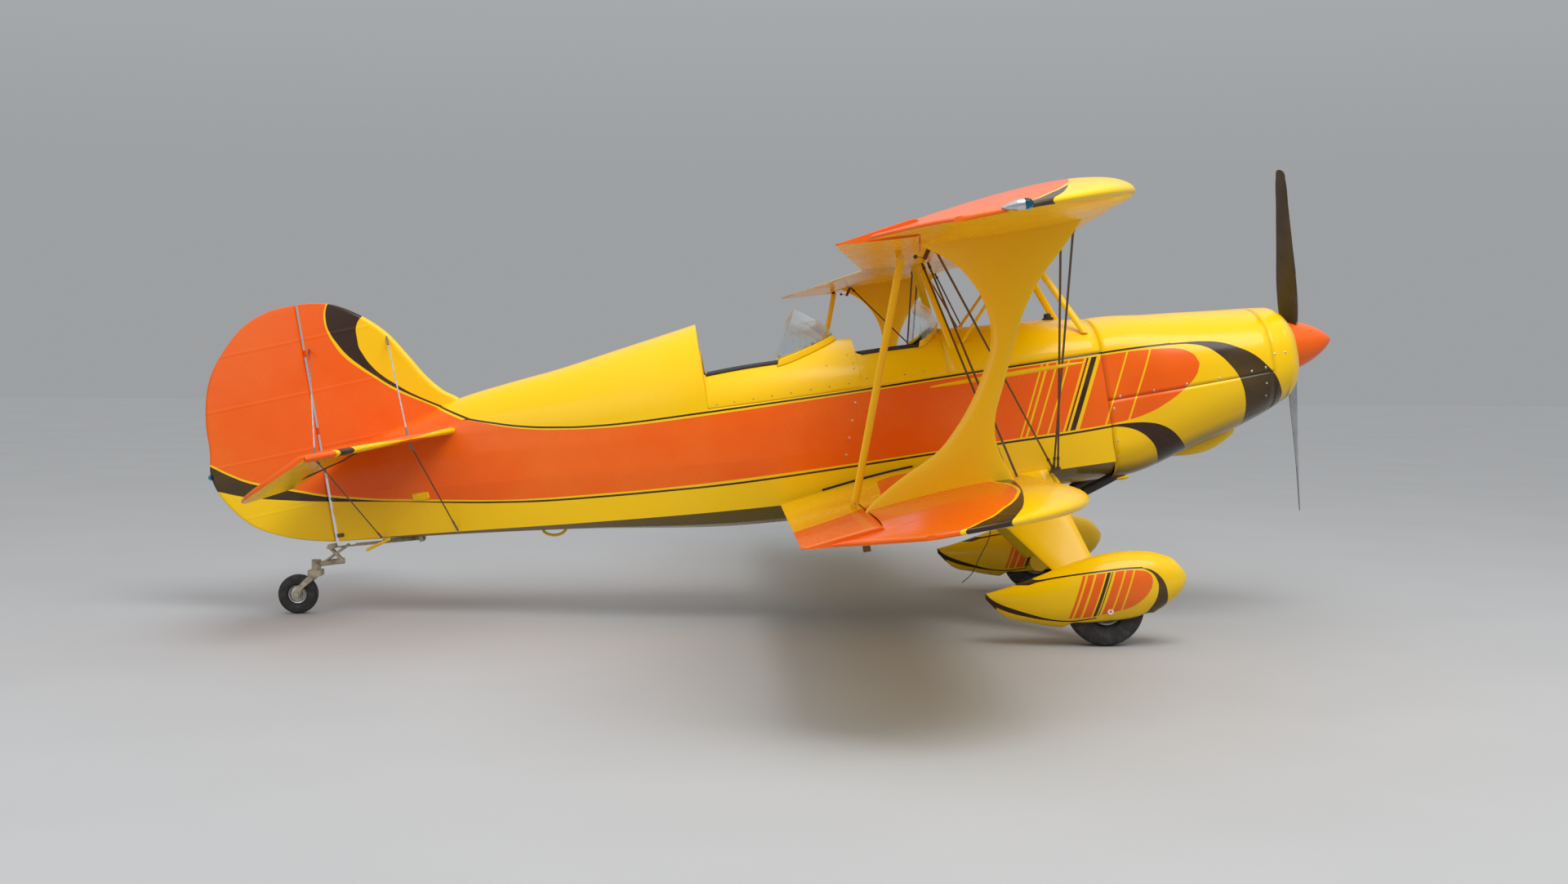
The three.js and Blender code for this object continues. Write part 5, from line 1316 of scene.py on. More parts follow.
# All that is left: caps, pipes, wires, rods, lights and handles
def buildFittings():
    cap = turnedRings(fuelCap["profile"], fuelCap["place"], 28, along=2)
    addPiece("fuel_cap", ringSkin(cap), rimRubber, crease=30)
    addPiece("whip_aerial", ringSkin(barAlong(alongLine(whip["path"], 24), whip["radius"], 8)), rimRubber)
    addPair("valve_grommet_{}", grommetSkin(), needleWhite, slot="beige_steel")
    path = alongLine([[x, exhaust["y"], z] for x, z in exhaust["path"]], 40)
    outer, inner = (barAlong(path, exhaust["radius"] - wall, 32) for wall in (0, exhaust["wall"]))
    addPair("exhaust_{}_pipe", ringSkin(np.concatenate([outer, inner[::-1][:20]])), sootyPipe,
            standsFor="exhaust_pipe_{}", crease=50)
    buildTailWires()
    buildSideGrip()
    buildTrimRod()
    buildNavPod()
    buildPostStraps()
    bar = barAlong(alongLine(handle["path"], 40), handle["radius"], 16)
    addPiece("grab_handle_bar", ringSkin(bar), plainYellow, standsFor="grab_handle")
    light = turnedRings(tailLight["profile"], tailLight["place"], 24, along=0)
    addPiece("tail_light", ringSkin(light), lensGlass, body="rudder")
    addPiece("tail_tube", straightBar(*tailTube["ends"], tailTube["radius"], 14), plainYellow)
    dress("engine_block", dullSteel)
    print("fittings made")


fasteners = {
    # x and height of screws on the hull's side and the cowl, and of rivets on the decking
    "side": [[-0.931, 1.28], [-0.960, 1.194], [-0.988, 1.111], [-1.016, 1.03]],
    "rivets": [[-1.614, 1.378], [-1.524, 1.378], [-1.430, 1.378], [-1.336, 1.378], [-1.241, 1.378],
               [-1.141, 1.378], [-1.047, 1.378], [-0.948, 1.378], [-0.668, 1.378], [-0.570, 1.378],
               [-0.856, 1.388], [-0.912, 1.446], [-0.909, 1.472], [-0.932, 1.517], [-1.043, 1.482]],
    "cowl": [[0.376, 1.100], [0.541, 1.105], [0.702, 1.110], [0.865, 1.113], [1.030, 1.123], [1.158, 1.188],
             [1.215, 1.186], [1.102, 1.130], [1.099, 1.052], [1.096, 0.989], [0.338, 1.044], [0.334, 0.881],
             [0.332, 0.800]],
    "radius": 0.0055, "rivetRadius": 0.0032, "height": 0.0016,
}


# Heads of screws and rivets set on the skin: a shallow dome of three rings at each point, facing outward
def domeHeads(points, outward, radius, height=fasteners["height"]):
    outward = outward / np.linalg.norm(outward, axis=1)[:, None]
    aside = np.cross(outward, [1.0, 0, 0])
    aside /= np.linalg.norm(aside, axis=1)[:, None]
    third, turn = np.cross(outward, aside), fullTurn(10)[None, :, None]
    circle = np.cos(turn) * aside[:, None] + np.sin(turn) * third[:, None]
    levels = [(radius, -0.001), (radius, height * 0.35), (radius * 0.72, height * 0.85),
              (radius * 0.2, height)]
    rings = np.stack([points[:, None] + circle * r + outward[:, None] * h for r, h in levels], 1)
    return together(*[ringSkin(one) for one in rings])


# Points on the cowl's left side at given x and height, with the direction straight out of the skin
def cowlSide(points):
    x, z = np.array(points).T
    rows = np.concatenate([cowlHalf(x, False)[:, 30::-1], cowlHalf(x, True)[:, :31]], axis=1)
    reads = [np.interp([height - 0.004, height, height + 0.004], *row[:, :0:-1].T)
             for height, row in zip(z, rows)]
    low, y, high = np.array(reads).T
    return np.stack([x, y, z], -1), np.stack([0 * x, 1 + 0 * x, (low - high) / 0.008], -1)


# Screws and rivets lie on the skin, and face the way it does
def buildFasteners():
    points, normals = cowlSide(fasteners["cowl"])
    x, z = np.array(fasteners["side"]).T
    points = np.vstack([points, np.stack([x, hullHalf(x, z), z], -1)])
    normals = np.vstack([normals, np.tile([0.0, 1, 0], (len(x), 1))])
    addPair("skin_screws_{}", domeHeads(points, normals, fasteners["radius"]), brightSteel, crease=30)
    x, z = np.array(fasteners["rivets"]).T
    half, rail, top = deckFacts(x, coamingTops)
    lift = np.clip((z - rail) / (top - rail), 0, 1)
    around = np.sqrt(1 - lift**2)
    rivets = domeHeads(np.stack([x, half * around, z], -1), np.stack([0 * x, around, lift], -1),
                       fasteners["rivetRadius"])
    addPair("skin_rivets_{}", rivets, dullSteel, crease=30)
    print("fasteners made")


paintColours = {"yellow": (0.93, 0.565, 0.001), "orange": (0.87, 0.118, 0.003),
                "brown": (0.036, 0.017, 0.009)}


# The nodes of a finish or of the sky: each method adds some and gives the socket with their result
class Nodes:
    def __init__(self, owner):
        owner.use_nodes = True
        self.owner, self.tree = owner, owner.node_tree

    # An input takes the output of another node, a number, or a colour or place of three numbers
    def feed(self, socket, value):
        if isinstance(value, bpy.types.NodeSocket):
            self.tree.links.new(value, socket)
        elif socket.type == "RGBA":
            socket.default_value = (*value, 1)
        else:
            socket.default_value = value

    # A node of the given kind, its inputs by name or number, its settings by name
    def put(self, kind, inputs=(), **settings):
        made = self.tree.nodes.new("ShaderNode" + kind)
        for key, value in settings.items():
            setattr(made, key, value)
        for key, value in dict(inputs).items():
            self.feed(made.inputs[key], value)
        return made

    # The shader's own inputs, by name
    def shade(self, inputs):
        for key, value in inputs.items():
            self.feed(self.tree.nodes["Principled BSDF"].inputs[key], value)

    # One step of arithmetic
    def count(self, operation, *values):
        return self.put("Math", dict(enumerate(values)), operation=operation).outputs[0]

    # The product of all values
    def times(self, first, *more):
        for value in more:
            first = self.count("MULTIPLY", first, value)
        return first

    # The greatest of all values
    def most(self, first, *more):
        for value in more:
            first = self.count("MAXIMUM", first, value)
        return first

    def plus(self, a, b):
        return self.count("ADD", a, b)

    def minus(self, a, b):
        return self.count("SUBTRACT", a, b)

    def above(self, value, edge):
        return self.count("GREATER_THAN", value, edge)

    def below(self, value, edge):
        return self.count("LESS_THAN", value, edge)

    # 1 where the value lies between both edges, else 0
    def between(self, value, low, high):
        return self.times(self.above(value, low), self.below(value, high))

    # 1 where the value is within half of the middle, else 0
    def near(self, value, middle, half):
        return self.count("COMPARE", value, middle, half)

    def size(self, value):
        return self.count("ABSOLUTE", value)

    # value times factor plus more
    def sloped(self, value, factor, more):
        return self.count("MULTIPLY_ADD", value, factor, more)

    def scaled(self, value, low, high, toLow=0.0, toHigh=1.0, smooth=False):
        keys = ("Value", "From Min", "From Max", "To Min", "To Max")
        return self.put("MapRange", dict(zip(keys, (value, low, high, toLow, toHigh))), clamp=True,
                        interpolation_type="SMOOTHSTEP" if smooth else "LINEAR").outputs["Result"]

    def noise(self, place, scale, detail, roughness=0.5):
        inputs = {"Vector": place, "Scale": scale, "Detail": detail, "Roughness": roughness}
        return self.put("TexNoise", inputs).outputs[0]

    def bump(self, height, strength, distance):
        inputs = {"Height": height, "Strength": strength, "Distance": distance}
        self.shade({"Normal": self.put("Bump", inputs).outputs[0]})

    # The height of a smooth line through a table of (along, height), read at a value along it
    def lineAt(self, along, table):
        table = sorted(table)
        ways, heights = zip(*table)
        start, end, low, high = ways[0], ways[-1], min(heights), max(heights)
        curve = self.put("FloatCurve", {"Value": self.scaled(along, start, end)})
        dots = curve.mapping.curves[0].points
        while len(dots) < len(table):
            dots.new(0.5, 0.5)
        for dot, (way, height) in zip(dots, table):
            dot.location = ((way - start) / (end - start), (height - low) / (high - low))
            dot.handle_type = "AUTO_CLAMPED"
        curve.mapping.update()
        return self.scaled(curve.outputs[0], 0.0, 1.0, low, high)

    # All lines of a pattern: some are read along x, the others along the height
    def lines(self, pattern, x, z):
        return {key: self.lineAt(way, table) for kind, way in (("alongX", x), ("alongZ", z))
                for key, table in pattern[kind].items()}

    # Hard-edged stripes read along a position, from a table of where each colour starts
    def stripesAt(self, position, table):
        start, end = table[0][0], table[-1][0]
        ramp = self.put("ValToRGB", {"Fac": self.scaled(position, start, end)})
        ramp.color_ramp.interpolation = "CONSTANT"
        stops = ramp.color_ramp.elements
        for stop, (_, word) in zip(stops, (table[0], table[-1])):
            stop.color = (*paintColours[word], 1)
        for way, word in table[1:-1]:
            stops.new((way - start) / (end - start)).color = (*paintColours[word], 1)
        return ramp.outputs["Color"]

    # A colour laid over another where the mask says so
    def overlay(self, mask, under, colour):
        return self.put("Mix", {0: mask, 6: under, 7: colour}, data_type="RGBA").outputs[2]

    # Raised line where the distance is small
    def ridgeNear(self, distance, width):
        return self.scaled(distance, 0.0, width, 1.0, 0.0, True)

    def surface(self, output="Object"):
        return self.put("TexCoord").outputs[output]

    def apart(self, vector):
        return tuple(self.put("SeparateXYZ", {0: vector}).outputs)

    # Object coordinates as a place and its x, y, z: level with the airframe, or else only moved to the wheels
    def place(self, level=True):
        turn = noseUp if level else 0.0
        move = (-stance["forward"] * math.cos(turn), 0, stance["forward"] * math.sin(turn))
        inputs = {"Vector": self.surface(), "Rotation": (0, turn, 0), "Location": move}
        moved = self.put("Mapping", inputs).outputs[0]
        return (moved, *self.apart(moved))


# A new material and its nodes
def newFinish(name):
    return Nodes(bpy.data.materials.new(name))


gloss = {"dust": (0.10, 0.075, 0.045), "faded": (0.95, 0.70, 0.12), "fadedShare": 0.07, "dustFrom": 1.05,
         "dustTo": 0.62}


# Gloss paint over any colour: faint mottling, dust low down and in the cloudier patches, orange peel and ribs
def glossPaint(g, colour, place, z, ridge=0.0, dust=0.16):
    cloud, speck, peel = g.noise(place, 1.7, 5.0, 0.6), g.noise(place, 38.0, 3.0), g.noise(place, 9.0, 2.0)
    grime = g.times(g.scaled(z, gloss["dustFrom"], gloss["dustTo"], 0.0, 1.0, True),
                    g.scaled(cloud, 0.38, 0.72, 0.05, dust))
    colour = g.overlay(grime, colour, gloss["dust"])
    colour = g.overlay(g.times(g.scaled(cloud, 0.45, 0.75), gloss["fadedShare"]), colour, gloss["faded"])
    rough = g.scaled(g.sloped(speck, 0.35, cloud), 0.45, 0.95, 0.16, 0.34)
    g.shade({"Base Color": colour, "Roughness": rough, "Specular IOR Level": 0.25, "Coat Weight": 0.08,
             "Coat Roughness": 0.06})
    g.bump(g.sloped(peel, 0.12, ridge), 0.35, 0.002)
    return g.owner


# Gloss paint in one colour
def plainPaint(name, word):
    g = newFinish(name)
    place, _, _, z = g.place()
    return glossPaint(g, paintColours[word], place, z)


livery = {
    # airframe x, height
    "alongX": {
        "orangeTop": [[-2.920, 1.516], [-2.787, 1.469], [-2.656, 1.426], [-2.524, 1.395], [-2.374, 1.372],
                      [-2.214, 1.354], [-2.035, 1.342], [-1.678, 1.333], [-0.937, 1.325], [-0.134, 1.322],
                      [0.231, 1.316], [0.442, 1.314], [0.558, 1.308], [0.649, 1.299], [0.705, 1.286],
                      [0.745, 1.264], [0.768, 1.240], [0.780, 1.205]],
        "orangeLow": [[-4.217, 1.478], [-4.127, 1.414], [-4.030, 1.360], [-3.904, 1.315], [-3.785, 1.273],
                      [-3.657, 1.231], [-3.513, 1.198], [-3.368, 1.168], [-3.232, 1.146], [-2.988, 1.107],
                      [-2.808, 1.079], [-2.628, 1.057], [-2.268, 1.029], [-1.867, 1.005], [-1.391, 0.990],
                      [-0.769, 0.979], [-0.188, 0.975], [0.154, 0.970], [0.284, 0.971], [0.402, 0.978],
                      [0.506, 0.999], [0.590, 1.033], [0.670, 1.077], [0.726, 1.118], [0.760, 1.153],
                      [0.780, 1.200]],
        "brownTop": [[-2.870, 1.503], [-2.774, 1.472], [-2.567, 1.416], [-2.425, 1.391], [-2.265, 1.371],
                     [-2.033, 1.356], [-1.765, 1.350], [-1.335, 1.343], [-0.935, 1.337], [-0.445, 1.335],
                     [0.088, 1.330], [0.498, 1.326], [0.652, 1.320]],
        "brownLowUpper": [[-4.217, 1.466], [-4.127, 1.402], [-4.030, 1.348], [-3.904, 1.303], [-3.785, 1.262],
                          [-3.657, 1.220], [-3.513, 1.187], [-3.368, 1.158], [-3.232, 1.136], [-2.988, 1.098],
                          [-2.810, 1.072], [-2.541, 1.040], [-2.271, 1.019], [-2.003, 1.002], [-1.586, 0.981],
                          [-1.065, 0.973], [-0.583, 0.970], [-0.189, 0.967], [0.126, 0.961], [0.315, 0.963]],
        "brownLowUnder": [[-4.199, 1.334], [-4.054, 1.281], [-3.850, 1.233], [-3.644, 1.194], [-3.468, 1.168],
                          [-3.235, 1.132], [-2.990, 1.090], [-2.810, 1.063], [-2.541, 1.030], [-2.271, 1.009],
                          [-2.003, 0.992], [-1.586, 0.971], [-1.065, 0.963], [-0.583, 0.960], [-0.189, 0.957],
                          [0.126, 0.951], [0.315, 0.953]],
    },
    # height, airframe x
    "alongZ": {
        "finOrange": [[1.500, -2.895], [1.545, -2.970], [1.600, -3.060], [1.715, -3.240], [1.787, -3.323],
                      [1.846, -3.390], [1.922, -3.460], [1.986, -3.494], [2.047, -3.516], [2.100, -3.523],
                      [2.150, -3.517], [2.195, -3.496], [2.225, -3.480]],
        "finBrownRear": [[1.500, -2.872], [1.545, -2.950], [1.600, -3.043], [1.728, -3.238], [1.795, -3.315],
                         [1.858, -3.381], [1.925, -3.440], [1.983, -3.475], [2.038, -3.501], [2.092, -3.513],
                         [2.149, -3.508], [2.191, -3.492], [2.225, -3.476]],
        "finBrownFront": [[1.500, -2.850], [1.545, -2.930], [1.600, -3.025], [1.687, -3.160], [1.741, -3.225],
                          [1.779, -3.268], [1.834, -3.315], [1.905, -3.354], [1.966, -3.372], [2.024, -3.372],
                          [2.067, -3.361], [2.104, -3.329], [2.160, -3.270]],
        "swooshOuter": [[0.935, 1.188], [0.968, 1.192], [1.025, 1.176], [1.088, 1.147], [1.141, 1.110],
                        [1.209, 1.047], [1.251, 0.982], [1.287, 0.907], [1.309, 0.808], [1.316, 0.736],
                        [1.327, 0.603]],
        "swooshInner": [[0.870, 0.989], [0.917, 0.989], [0.993, 0.986], [1.058, 0.977], [1.119, 0.958],
                        [1.176, 0.925], [1.230, 0.883], [1.275, 0.830], [1.305, 0.743], [1.317, 0.640],
                        [1.3265, 0.600]],
        "chinOuter": [[0.781, 0.689], [0.814, 0.668], [0.852, 0.640], [0.895, 0.602], [0.932, 0.548],
                      [0.949, 0.499], [0.960, 0.430], [0.9655, 0.310]],
        "chinInner": [[0.744, 0.540], [0.778, 0.530], [0.821, 0.517], [0.864, 0.492], [0.902, 0.457],
                      [0.932, 0.410], [0.948, 0.363], [0.956, 0.312]],
    },
    "lean": 0.463, "leanAt": 1.15,
    # position along the leaning stripes, and the colour from there on
    "stripes": [[-0.100, "orange"], [-0.070, "yellow"], [-0.060, "orange"], [-0.041, "yellow"],
                [-0.031, "orange"], [0.008, "yellow"], [0.018, "orange"], [0.069, "yellow"],
                [0.079, "orange"], [0.150, "yellow"], [0.160, "orange"], [0.165, "brown"], [0.172, "yellow"],
                [0.186, "brown"], [0.2135, "yellow"], [0.235, "orange"], [0.362, "yellow"], [0.372, "orange"],
                [0.478, "yellow"], [0.488, "orange"]],
    "bandFront": 0.779, "finFrom": 1.503, "finRear": -2.75, "finRibs": [1.186, 1.466, 1.751, 2.019],
    "ribsTo": -3.30, "ribSlope": -0.05, "ribSlopeAt": -3.9, "ribWidth": 0.012,
    "pin": 0.0048, "pinFrom": -2.885, "pinTo": 0.66, "lowTo": 0.32, "swooshTop": 1.327, "chinTop": 0.966,
    "chinFrom": 0.30,
    # colour, share, top and range of downward normals of the painted shade on the lower hull
    "paintedBellyShade": (0.045, 0.035, 0.010), "bellyShadeShare": 0.82, "bellyShadeTop": 1.05, "bellyShadeNormal": [-0.60, -0.90],
}


# The fuselage, cowl, fin and rudder: an orange band edged with pins, a brown swoosh down the cowl and the
# fin, and painted shade on the faces that turn downward low on the hull
def makeLivery():
    g = newFinish("liveryPaint")
    place, x, _, z = g.place()
    line = g.lines(livery, x, z)
    position = g.sloped(g.minus(z, livery["leanAt"]), -livery["lean"], x)
    orange = g.stripesAt(position, livery["stripes"])
    onFin = g.times(g.above(z, livery["finFrom"]), g.below(x, livery["finRear"]))
    off = g.minus(1.0, onFin)
    band = g.times(g.between(z, line["orangeLow"], line["orangeTop"]), off, g.below(x, livery["bandFront"]))
    finBand = g.times(g.below(x, line["finOrange"]), onFin)
    colour = g.overlay(g.most(band, finBand), paintColours["yellow"], orange)
    brown = g.most(
        g.times(g.near(z, line["brownTop"], livery["pin"]), g.between(x, livery["pinFrom"], livery["pinTo"]),
                off),
        g.times(g.between(z, line["brownLowUnder"], line["brownLowUpper"]), g.below(x, livery["lowTo"])),
        g.times(g.between(x, line["finBrownRear"], line["finBrownFront"]), onFin),
        g.times(g.between(x, line["swooshInner"], line["swooshOuter"]), g.below(z, livery["swooshTop"])),
        g.times(g.between(x, line["chinInner"], line["chinOuter"]), g.below(z, livery["chinTop"]),
                g.above(x, livery["chinFrom"])))
    colour = g.overlay(brown, colour, paintColours["brown"])
    slope, ridge = g.sloped(g.minus(x, livery["ribSlopeAt"]), livery["ribSlope"], z), 0.0
    for height in livery["finRibs"]:
        ridge = g.plus(ridge, g.ridgeNear(g.size(g.minus(slope, height)), livery["ribWidth"]))
    ridge = g.times(ridge, g.below(x, livery["ribsTo"]))
    # Painted shade: faces that turn downward below the top height are darkened, as if in shadow
    facing = g.scaled(g.apart(g.surface("Normal"))[2], *livery["bellyShadeNormal"], 0.0, livery["bellyShadeShare"], True)
    colour = g.overlay(g.times(facing, g.below(z, livery["bellyShadeTop"])), colour, livery["paintedBellyShade"])
    return glossPaint(g, colour, place, z, ridge)


# Lower and upper wings: u is the place behind the straight leading edge, w the distance in from the tip
wingPattern = {
    "front": [[0.0, -0.570], [0.04, -0.521], [0.095, -0.473], [0.145, -0.423], [0.225, -0.373],
              [0.29, -0.333], [0.395, -0.293], [0.485, -0.274], [0.585, -0.269], [0.785, -0.268],
              [0.955, -0.283], [2.0, -0.300], [2.5, -0.350], [2.69, -0.450], [2.765, -0.550]],
    "brown": [[0.0, -0.450], [0.06, -0.400], [0.107, -0.361], [0.16, -0.333], [0.23, -0.305], [0.335, -0.282],
              [0.505, -0.260], [0.70, -0.243], [0.955, -0.219], [1.145, -0.215], [2.0, -0.240], [2.5, -0.310],
              [2.69, -0.420], [2.80, -0.550]],
    "back": [[1.10, -1.15], [1.13, -1.00], [1.20, -0.84], [1.40, -0.72], [1.905, -0.658], [2.425, -0.626],
             [2.695, -0.600], [2.765, -0.550]],
    "rib": 0.305, "ribWidth": 0.014, "ribFrom": [-0.10, -0.16], "upperShift": 0.036, "pinHalf": 0.006,
    "topNormal": -0.86, "topTo": 2.78, "dustLift": 0.3,
}


# The band between the lines back and front in orange, its edge from front to brown in brown, on top only
def makeWingPaint(which):
    g, plan = newFinish(f"{which}WingPaint"), wings[which]
    place, x, y, z = g.place()
    out, shift = g.size(y), wingPattern["upperShift"] if which == "upper" else 0
    u = g.minus(x, g.sloped(out, -plan["sweep"], plan["lead"] + shift))
    w = g.minus(plan["semi"], out)
    front, brown, back = (g.lineAt(w, wingPattern[key]) for key in ("front", "brown", "back"))
    facing = g.above(g.apart(g.surface("Normal"))[2], wingPattern["topNormal"])
    top = g.times(facing, g.below(w, wingPattern["topTo"]))
    orange = g.times(g.between(u, back, g.minus(front, wingPattern["pinHalf"])), top)
    band = g.times(g.between(u, g.plus(front, wingPattern["pinHalf"]), g.minus(brown, shift / 2)), top)
    colour = g.overlay(orange, paintColours["yellow"], paintColours["orange"])
    colour = g.overlay(band, colour, paintColours["brown"])
    rib = g.ridgeNear(g.count("PINGPONG", out, wingPattern["rib"] / 2), wingPattern["ribWidth"])
    ridge = g.times(rib, g.scaled(u, *wingPattern["ribFrom"]))
    return glossPaint(g, colour, place, g.plus(z, wingPattern["dustLift"]), ridge)


tailPattern = {"strip": 0.026, "brownFrom": 1.00, "brownTo": 1.105, "orangeFrom": 1.134, "rib": 0.14,
               "ribWidth": 0.010, "under": -0.5}


# Tailplane: orange with a yellow strip along its leading edge that turns brown, then orange, near the tip
def makeTailplanePaint():
    g = newFinish("tailplanePaint")
    place, x, y, z = g.place()
    out = g.size(y)
    lead = g.lineAt(out, [[across, ahead] for ahead, across in tail["tailplaneLead"]])
    strip = g.times(g.above(x, g.minus(lead, tailPattern["strip"])), g.below(out, tailPattern["orangeFrom"]))
    colour = g.overlay(strip, paintColours["orange"], paintColours["yellow"])
    brown = g.times(strip, g.between(out, tailPattern["brownFrom"], tailPattern["brownTo"]))
    colour = g.overlay(brown, colour, paintColours["brown"])
    rib = g.count("PINGPONG", out, tailPattern["rib"])
    return glossPaint(g, colour, place, z, g.ridgeNear(rib, tailPattern["ribWidth"]))


# Elevators: orange above and round the edge, yellow underneath
def makeElevatorPaint():
    g = newFinish("elevatorPaint")
    place, _, y, z = g.place()
    droop = math.radians(tail["droop"]) + noseUp
    inputs = {0: g.surface("Normal"), 1: (-math.sin(droop), 0, math.cos(droop))}
    level = g.put("VectorMath", inputs, operation="DOT_PRODUCT").outputs["Value"]
    colour = g.overlay(g.below(level, tailPattern["under"]), paintColours["orange"], paintColours["yellow"])
    rib = g.count("PINGPONG", g.size(y), tailPattern["rib"])
    return glossPaint(g, colour, place, z, g.ridgeNear(rib, tailPattern["ribWidth"]))


# Wheel fairings, in ground axes
pantPattern = {
    # x, height; the last two give a pin's half width instead
    "alongX": {
        "orangeTop": [[-0.135, 0.334], [-0.106, 0.338], [-0.024, 0.350], [0.021, 0.357], [0.107, 0.365],
                      [0.154, 0.362], [0.180, 0.351], [0.192, 0.336], [0.197, 0.318]],
        "orangeLow": [[-0.185, 0.136], [-0.125, 0.141], [-0.075, 0.147], [-0.032, 0.157], [0.049, 0.178],
                      [0.099, 0.194], [0.141, 0.221], [0.175, 0.256], [0.190, 0.282], [0.197, 0.310]],
        "brownTop": [[-0.55, 0.262], [-0.47, 0.283], [-0.40, 0.299], [-0.35, 0.301], [-0.317, 0.306],
                     [-0.262, 0.319], [-0.147, 0.341], [0.007, 0.364], [0.084, 0.373], [0.146, 0.376]],
        "brownLow": [[-0.572, 0.238], [-0.507, 0.188], [-0.351, 0.143], [-0.259, 0.127], [-0.194, 0.123],
                     [-0.105, 0.133], [-0.059, 0.141]],
        "topWidth": [[-0.56, 0.001], [-0.47, 0.003], [-0.40, 0.017], [-0.35, 0.010], [-0.31, 0.004],
                     [-0.25, 0.0035], [0.15, 0.0035]],
        "lowWidth": [[-0.60, 0.012], [-0.50, 0.012], [-0.35, 0.008], [-0.22, 0.0035], [0.0, 0.0030]],
    },
    # height, x
    "alongZ": {
        "swooshOuter": [[0.129, 0.181], [0.170, 0.232], [0.216, 0.276], [0.268, 0.269], [0.306, 0.255],
                        [0.337, 0.232], [0.366, 0.192], [0.377, 0.140]],
        "swooshInner": [[0.140, 0.146], [0.190, 0.195], [0.248, 0.221], [0.291, 0.225], [0.318, 0.218],
                        [0.345, 0.201], [0.364, 0.173], [0.375, 0.138]],
    },
    "lean": 0.31, "leanAt": 0.25,
    "stripes": [[-0.200, "yellow"], [-0.151, "orange"], [-0.138, "yellow"], [-0.128, "orange"],
                [-0.101, "yellow"], [-0.091, "orange"], [-0.053, "yellow"], [-0.045, "brown"],
                [-0.030, "yellow"], [-0.024, "brown"], [-0.020, "yellow"], [-0.008, "orange"],
                [0.030, "yellow"], [0.038, "orange"], [0.072, "yellow"], [0.080, "orange"]],
    "bandFront": 0.1965, "topFrom": -0.55, "topTo": 0.15, "lowFrom": -0.60, "lowTo": -0.058, "tailTo": -0.51,
    "swooshTop": 0.377, "dust": 0.3, "dustSlope": [0.8, 0.62],
}


# The hull's bands and pins once more, on the lines of the wheel fairing
def makePantPaint():
    g = newFinish("pantPaint")
    place, x, _, z = g.place(level=False)
    line = g.lines(pantPattern, x, z)
    position = g.sloped(g.minus(z, pantPattern["leanAt"]), -pantPattern["lean"], x)
    orange = g.stripesAt(position, pantPattern["stripes"])
    band = g.times(g.between(z, line["orangeLow"], line["orangeTop"]), g.below(x, pantPattern["bandFront"]))
    colour = g.overlay(band, paintColours["yellow"], orange)
    brown = g.most(
        g.times(g.near(z, line["brownTop"], line["topWidth"]),
                g.between(x, pantPattern["topFrom"], pantPattern["topTo"])),
        g.times(g.near(z, line["brownLow"], line["lowWidth"]),
                g.between(x, pantPattern["lowFrom"], pantPattern["lowTo"])),
        g.times(g.between(x, line["swooshInner"], line["swooshOuter"]), g.below(z, pantPattern["swooshTop"])),
        g.times(g.below(z, line["brownLow"]), g.below(x, pantPattern["tailTo"])))
    colour = g.overlay(brown, colour, paintColours["brown"])
    return glossPaint(g, colour, place, g.sloped(z, *pantPattern["dustSlope"]), dust=pantPattern["dust"])


# Bare and treated metals, rubber and trim: a colour mottled by noise, with its own roughness and fine bump
trims = {
    # colour, second colour, noise scale, roughness from, to, metallic, bump distance
    "brightSteel": [(0.62, 0.63, 0.64), (0.42, 0.43, 0.45), 24, 0.18, 0.38, 1.0, 0.0002],
    "dullSteel": [(0.26, 0.26, 0.25), (0.13, 0.12, 0.11), 30, 0.38, 0.62, 1.0, 0.0005],
    "wheelMetal": [(0.55, 0.55, 0.54), (0.33, 0.32, 0.30), 22, 0.30, 0.5, 1.0, 0.0004],
    "beigeEnamel": [(0.44, 0.39, 0.28), (0.15, 0.12, 0.08), 26, 0.35, 0.7, 0.0, 0.0006],
    "bladePaint": [(0.036, 0.025, 0.018), (0.062, 0.046, 0.036), 9, 0.32, 0.55, 0.0, 0.0002],
    "bladeMetal": [(0.34, 0.34, 0.34), (0.25, 0.25, 0.245), 14, 0.32, 0.5, 0.3, 0.0002],
    # black for painted shade in openings, hollows and gaps
    "paintedShadeBlack": [(0.012, 0.011, 0.010), (0.03, 0.027, 0.023), 20, 0.6, 0.9, 0.0, 0.0008],
    "rimRubber": [(0.016, 0.016, 0.017), (0.035, 0.034, 0.033), 60, 0.45, 0.7, 0.0, 0.0005],
    "panelBlack": [(0.014, 0.014, 0.015), (0.028, 0.028, 0.030), 260, 0.55, 0.8, 0.0, 0.0006],
    "dialFace": [(0.008, 0.008, 0.009), (0.012, 0.012, 0.013), 40, 0.08, 0.14, 0.0, 0.0001],
    "needleWhite": [(0.80, 0.79, 0.74), (0.68, 0.66, 0.60), 80, 0.4, 0.5, 0.0, 0.0001],
    "sootyPipe": [(0.045, 0.040, 0.037), (0.12, 0.085, 0.06), 18, 0.45, 0.75, 0.6, 0.0008],
    "bracketRust": [(0.150, 0.060, 0.018), (0.060, 0.030, 0.012), 40, 0.45, 0.7, 0.0, 0.0004],
    "wireBrown": [(0.070, 0.045, 0.026), (0.110, 0.072, 0.040), 30, 0.35, 0.55, 0.0, 0.0002],
    "tyreRubber": [(0.018, 0.018, 0.019), (0.065, 0.060, 0.054), 34, 0.68, 0.92, 0.0, 0.0012],
}


# Two colours by a coarse noise, a bump by a fine one
def makeTrim(name):
    main, second, scale, smoothest, roughest, metallic, depth = trims[name]
    g = newFinish(name)
    cloud = g.noise(g.surface(), scale, 6.0, 0.62)
    g.shade({"Base Color": g.overlay(g.scaled(cloud, 0.46, 0.70), main, second), "Metallic": metallic,
             "Roughness": g.scaled(cloud, 0.35, 0.68, smoothest, roughest)})
    g.bump(g.noise(g.surface(), scale * 9.0, 3.0), 0.5, depth)
    return g.owner
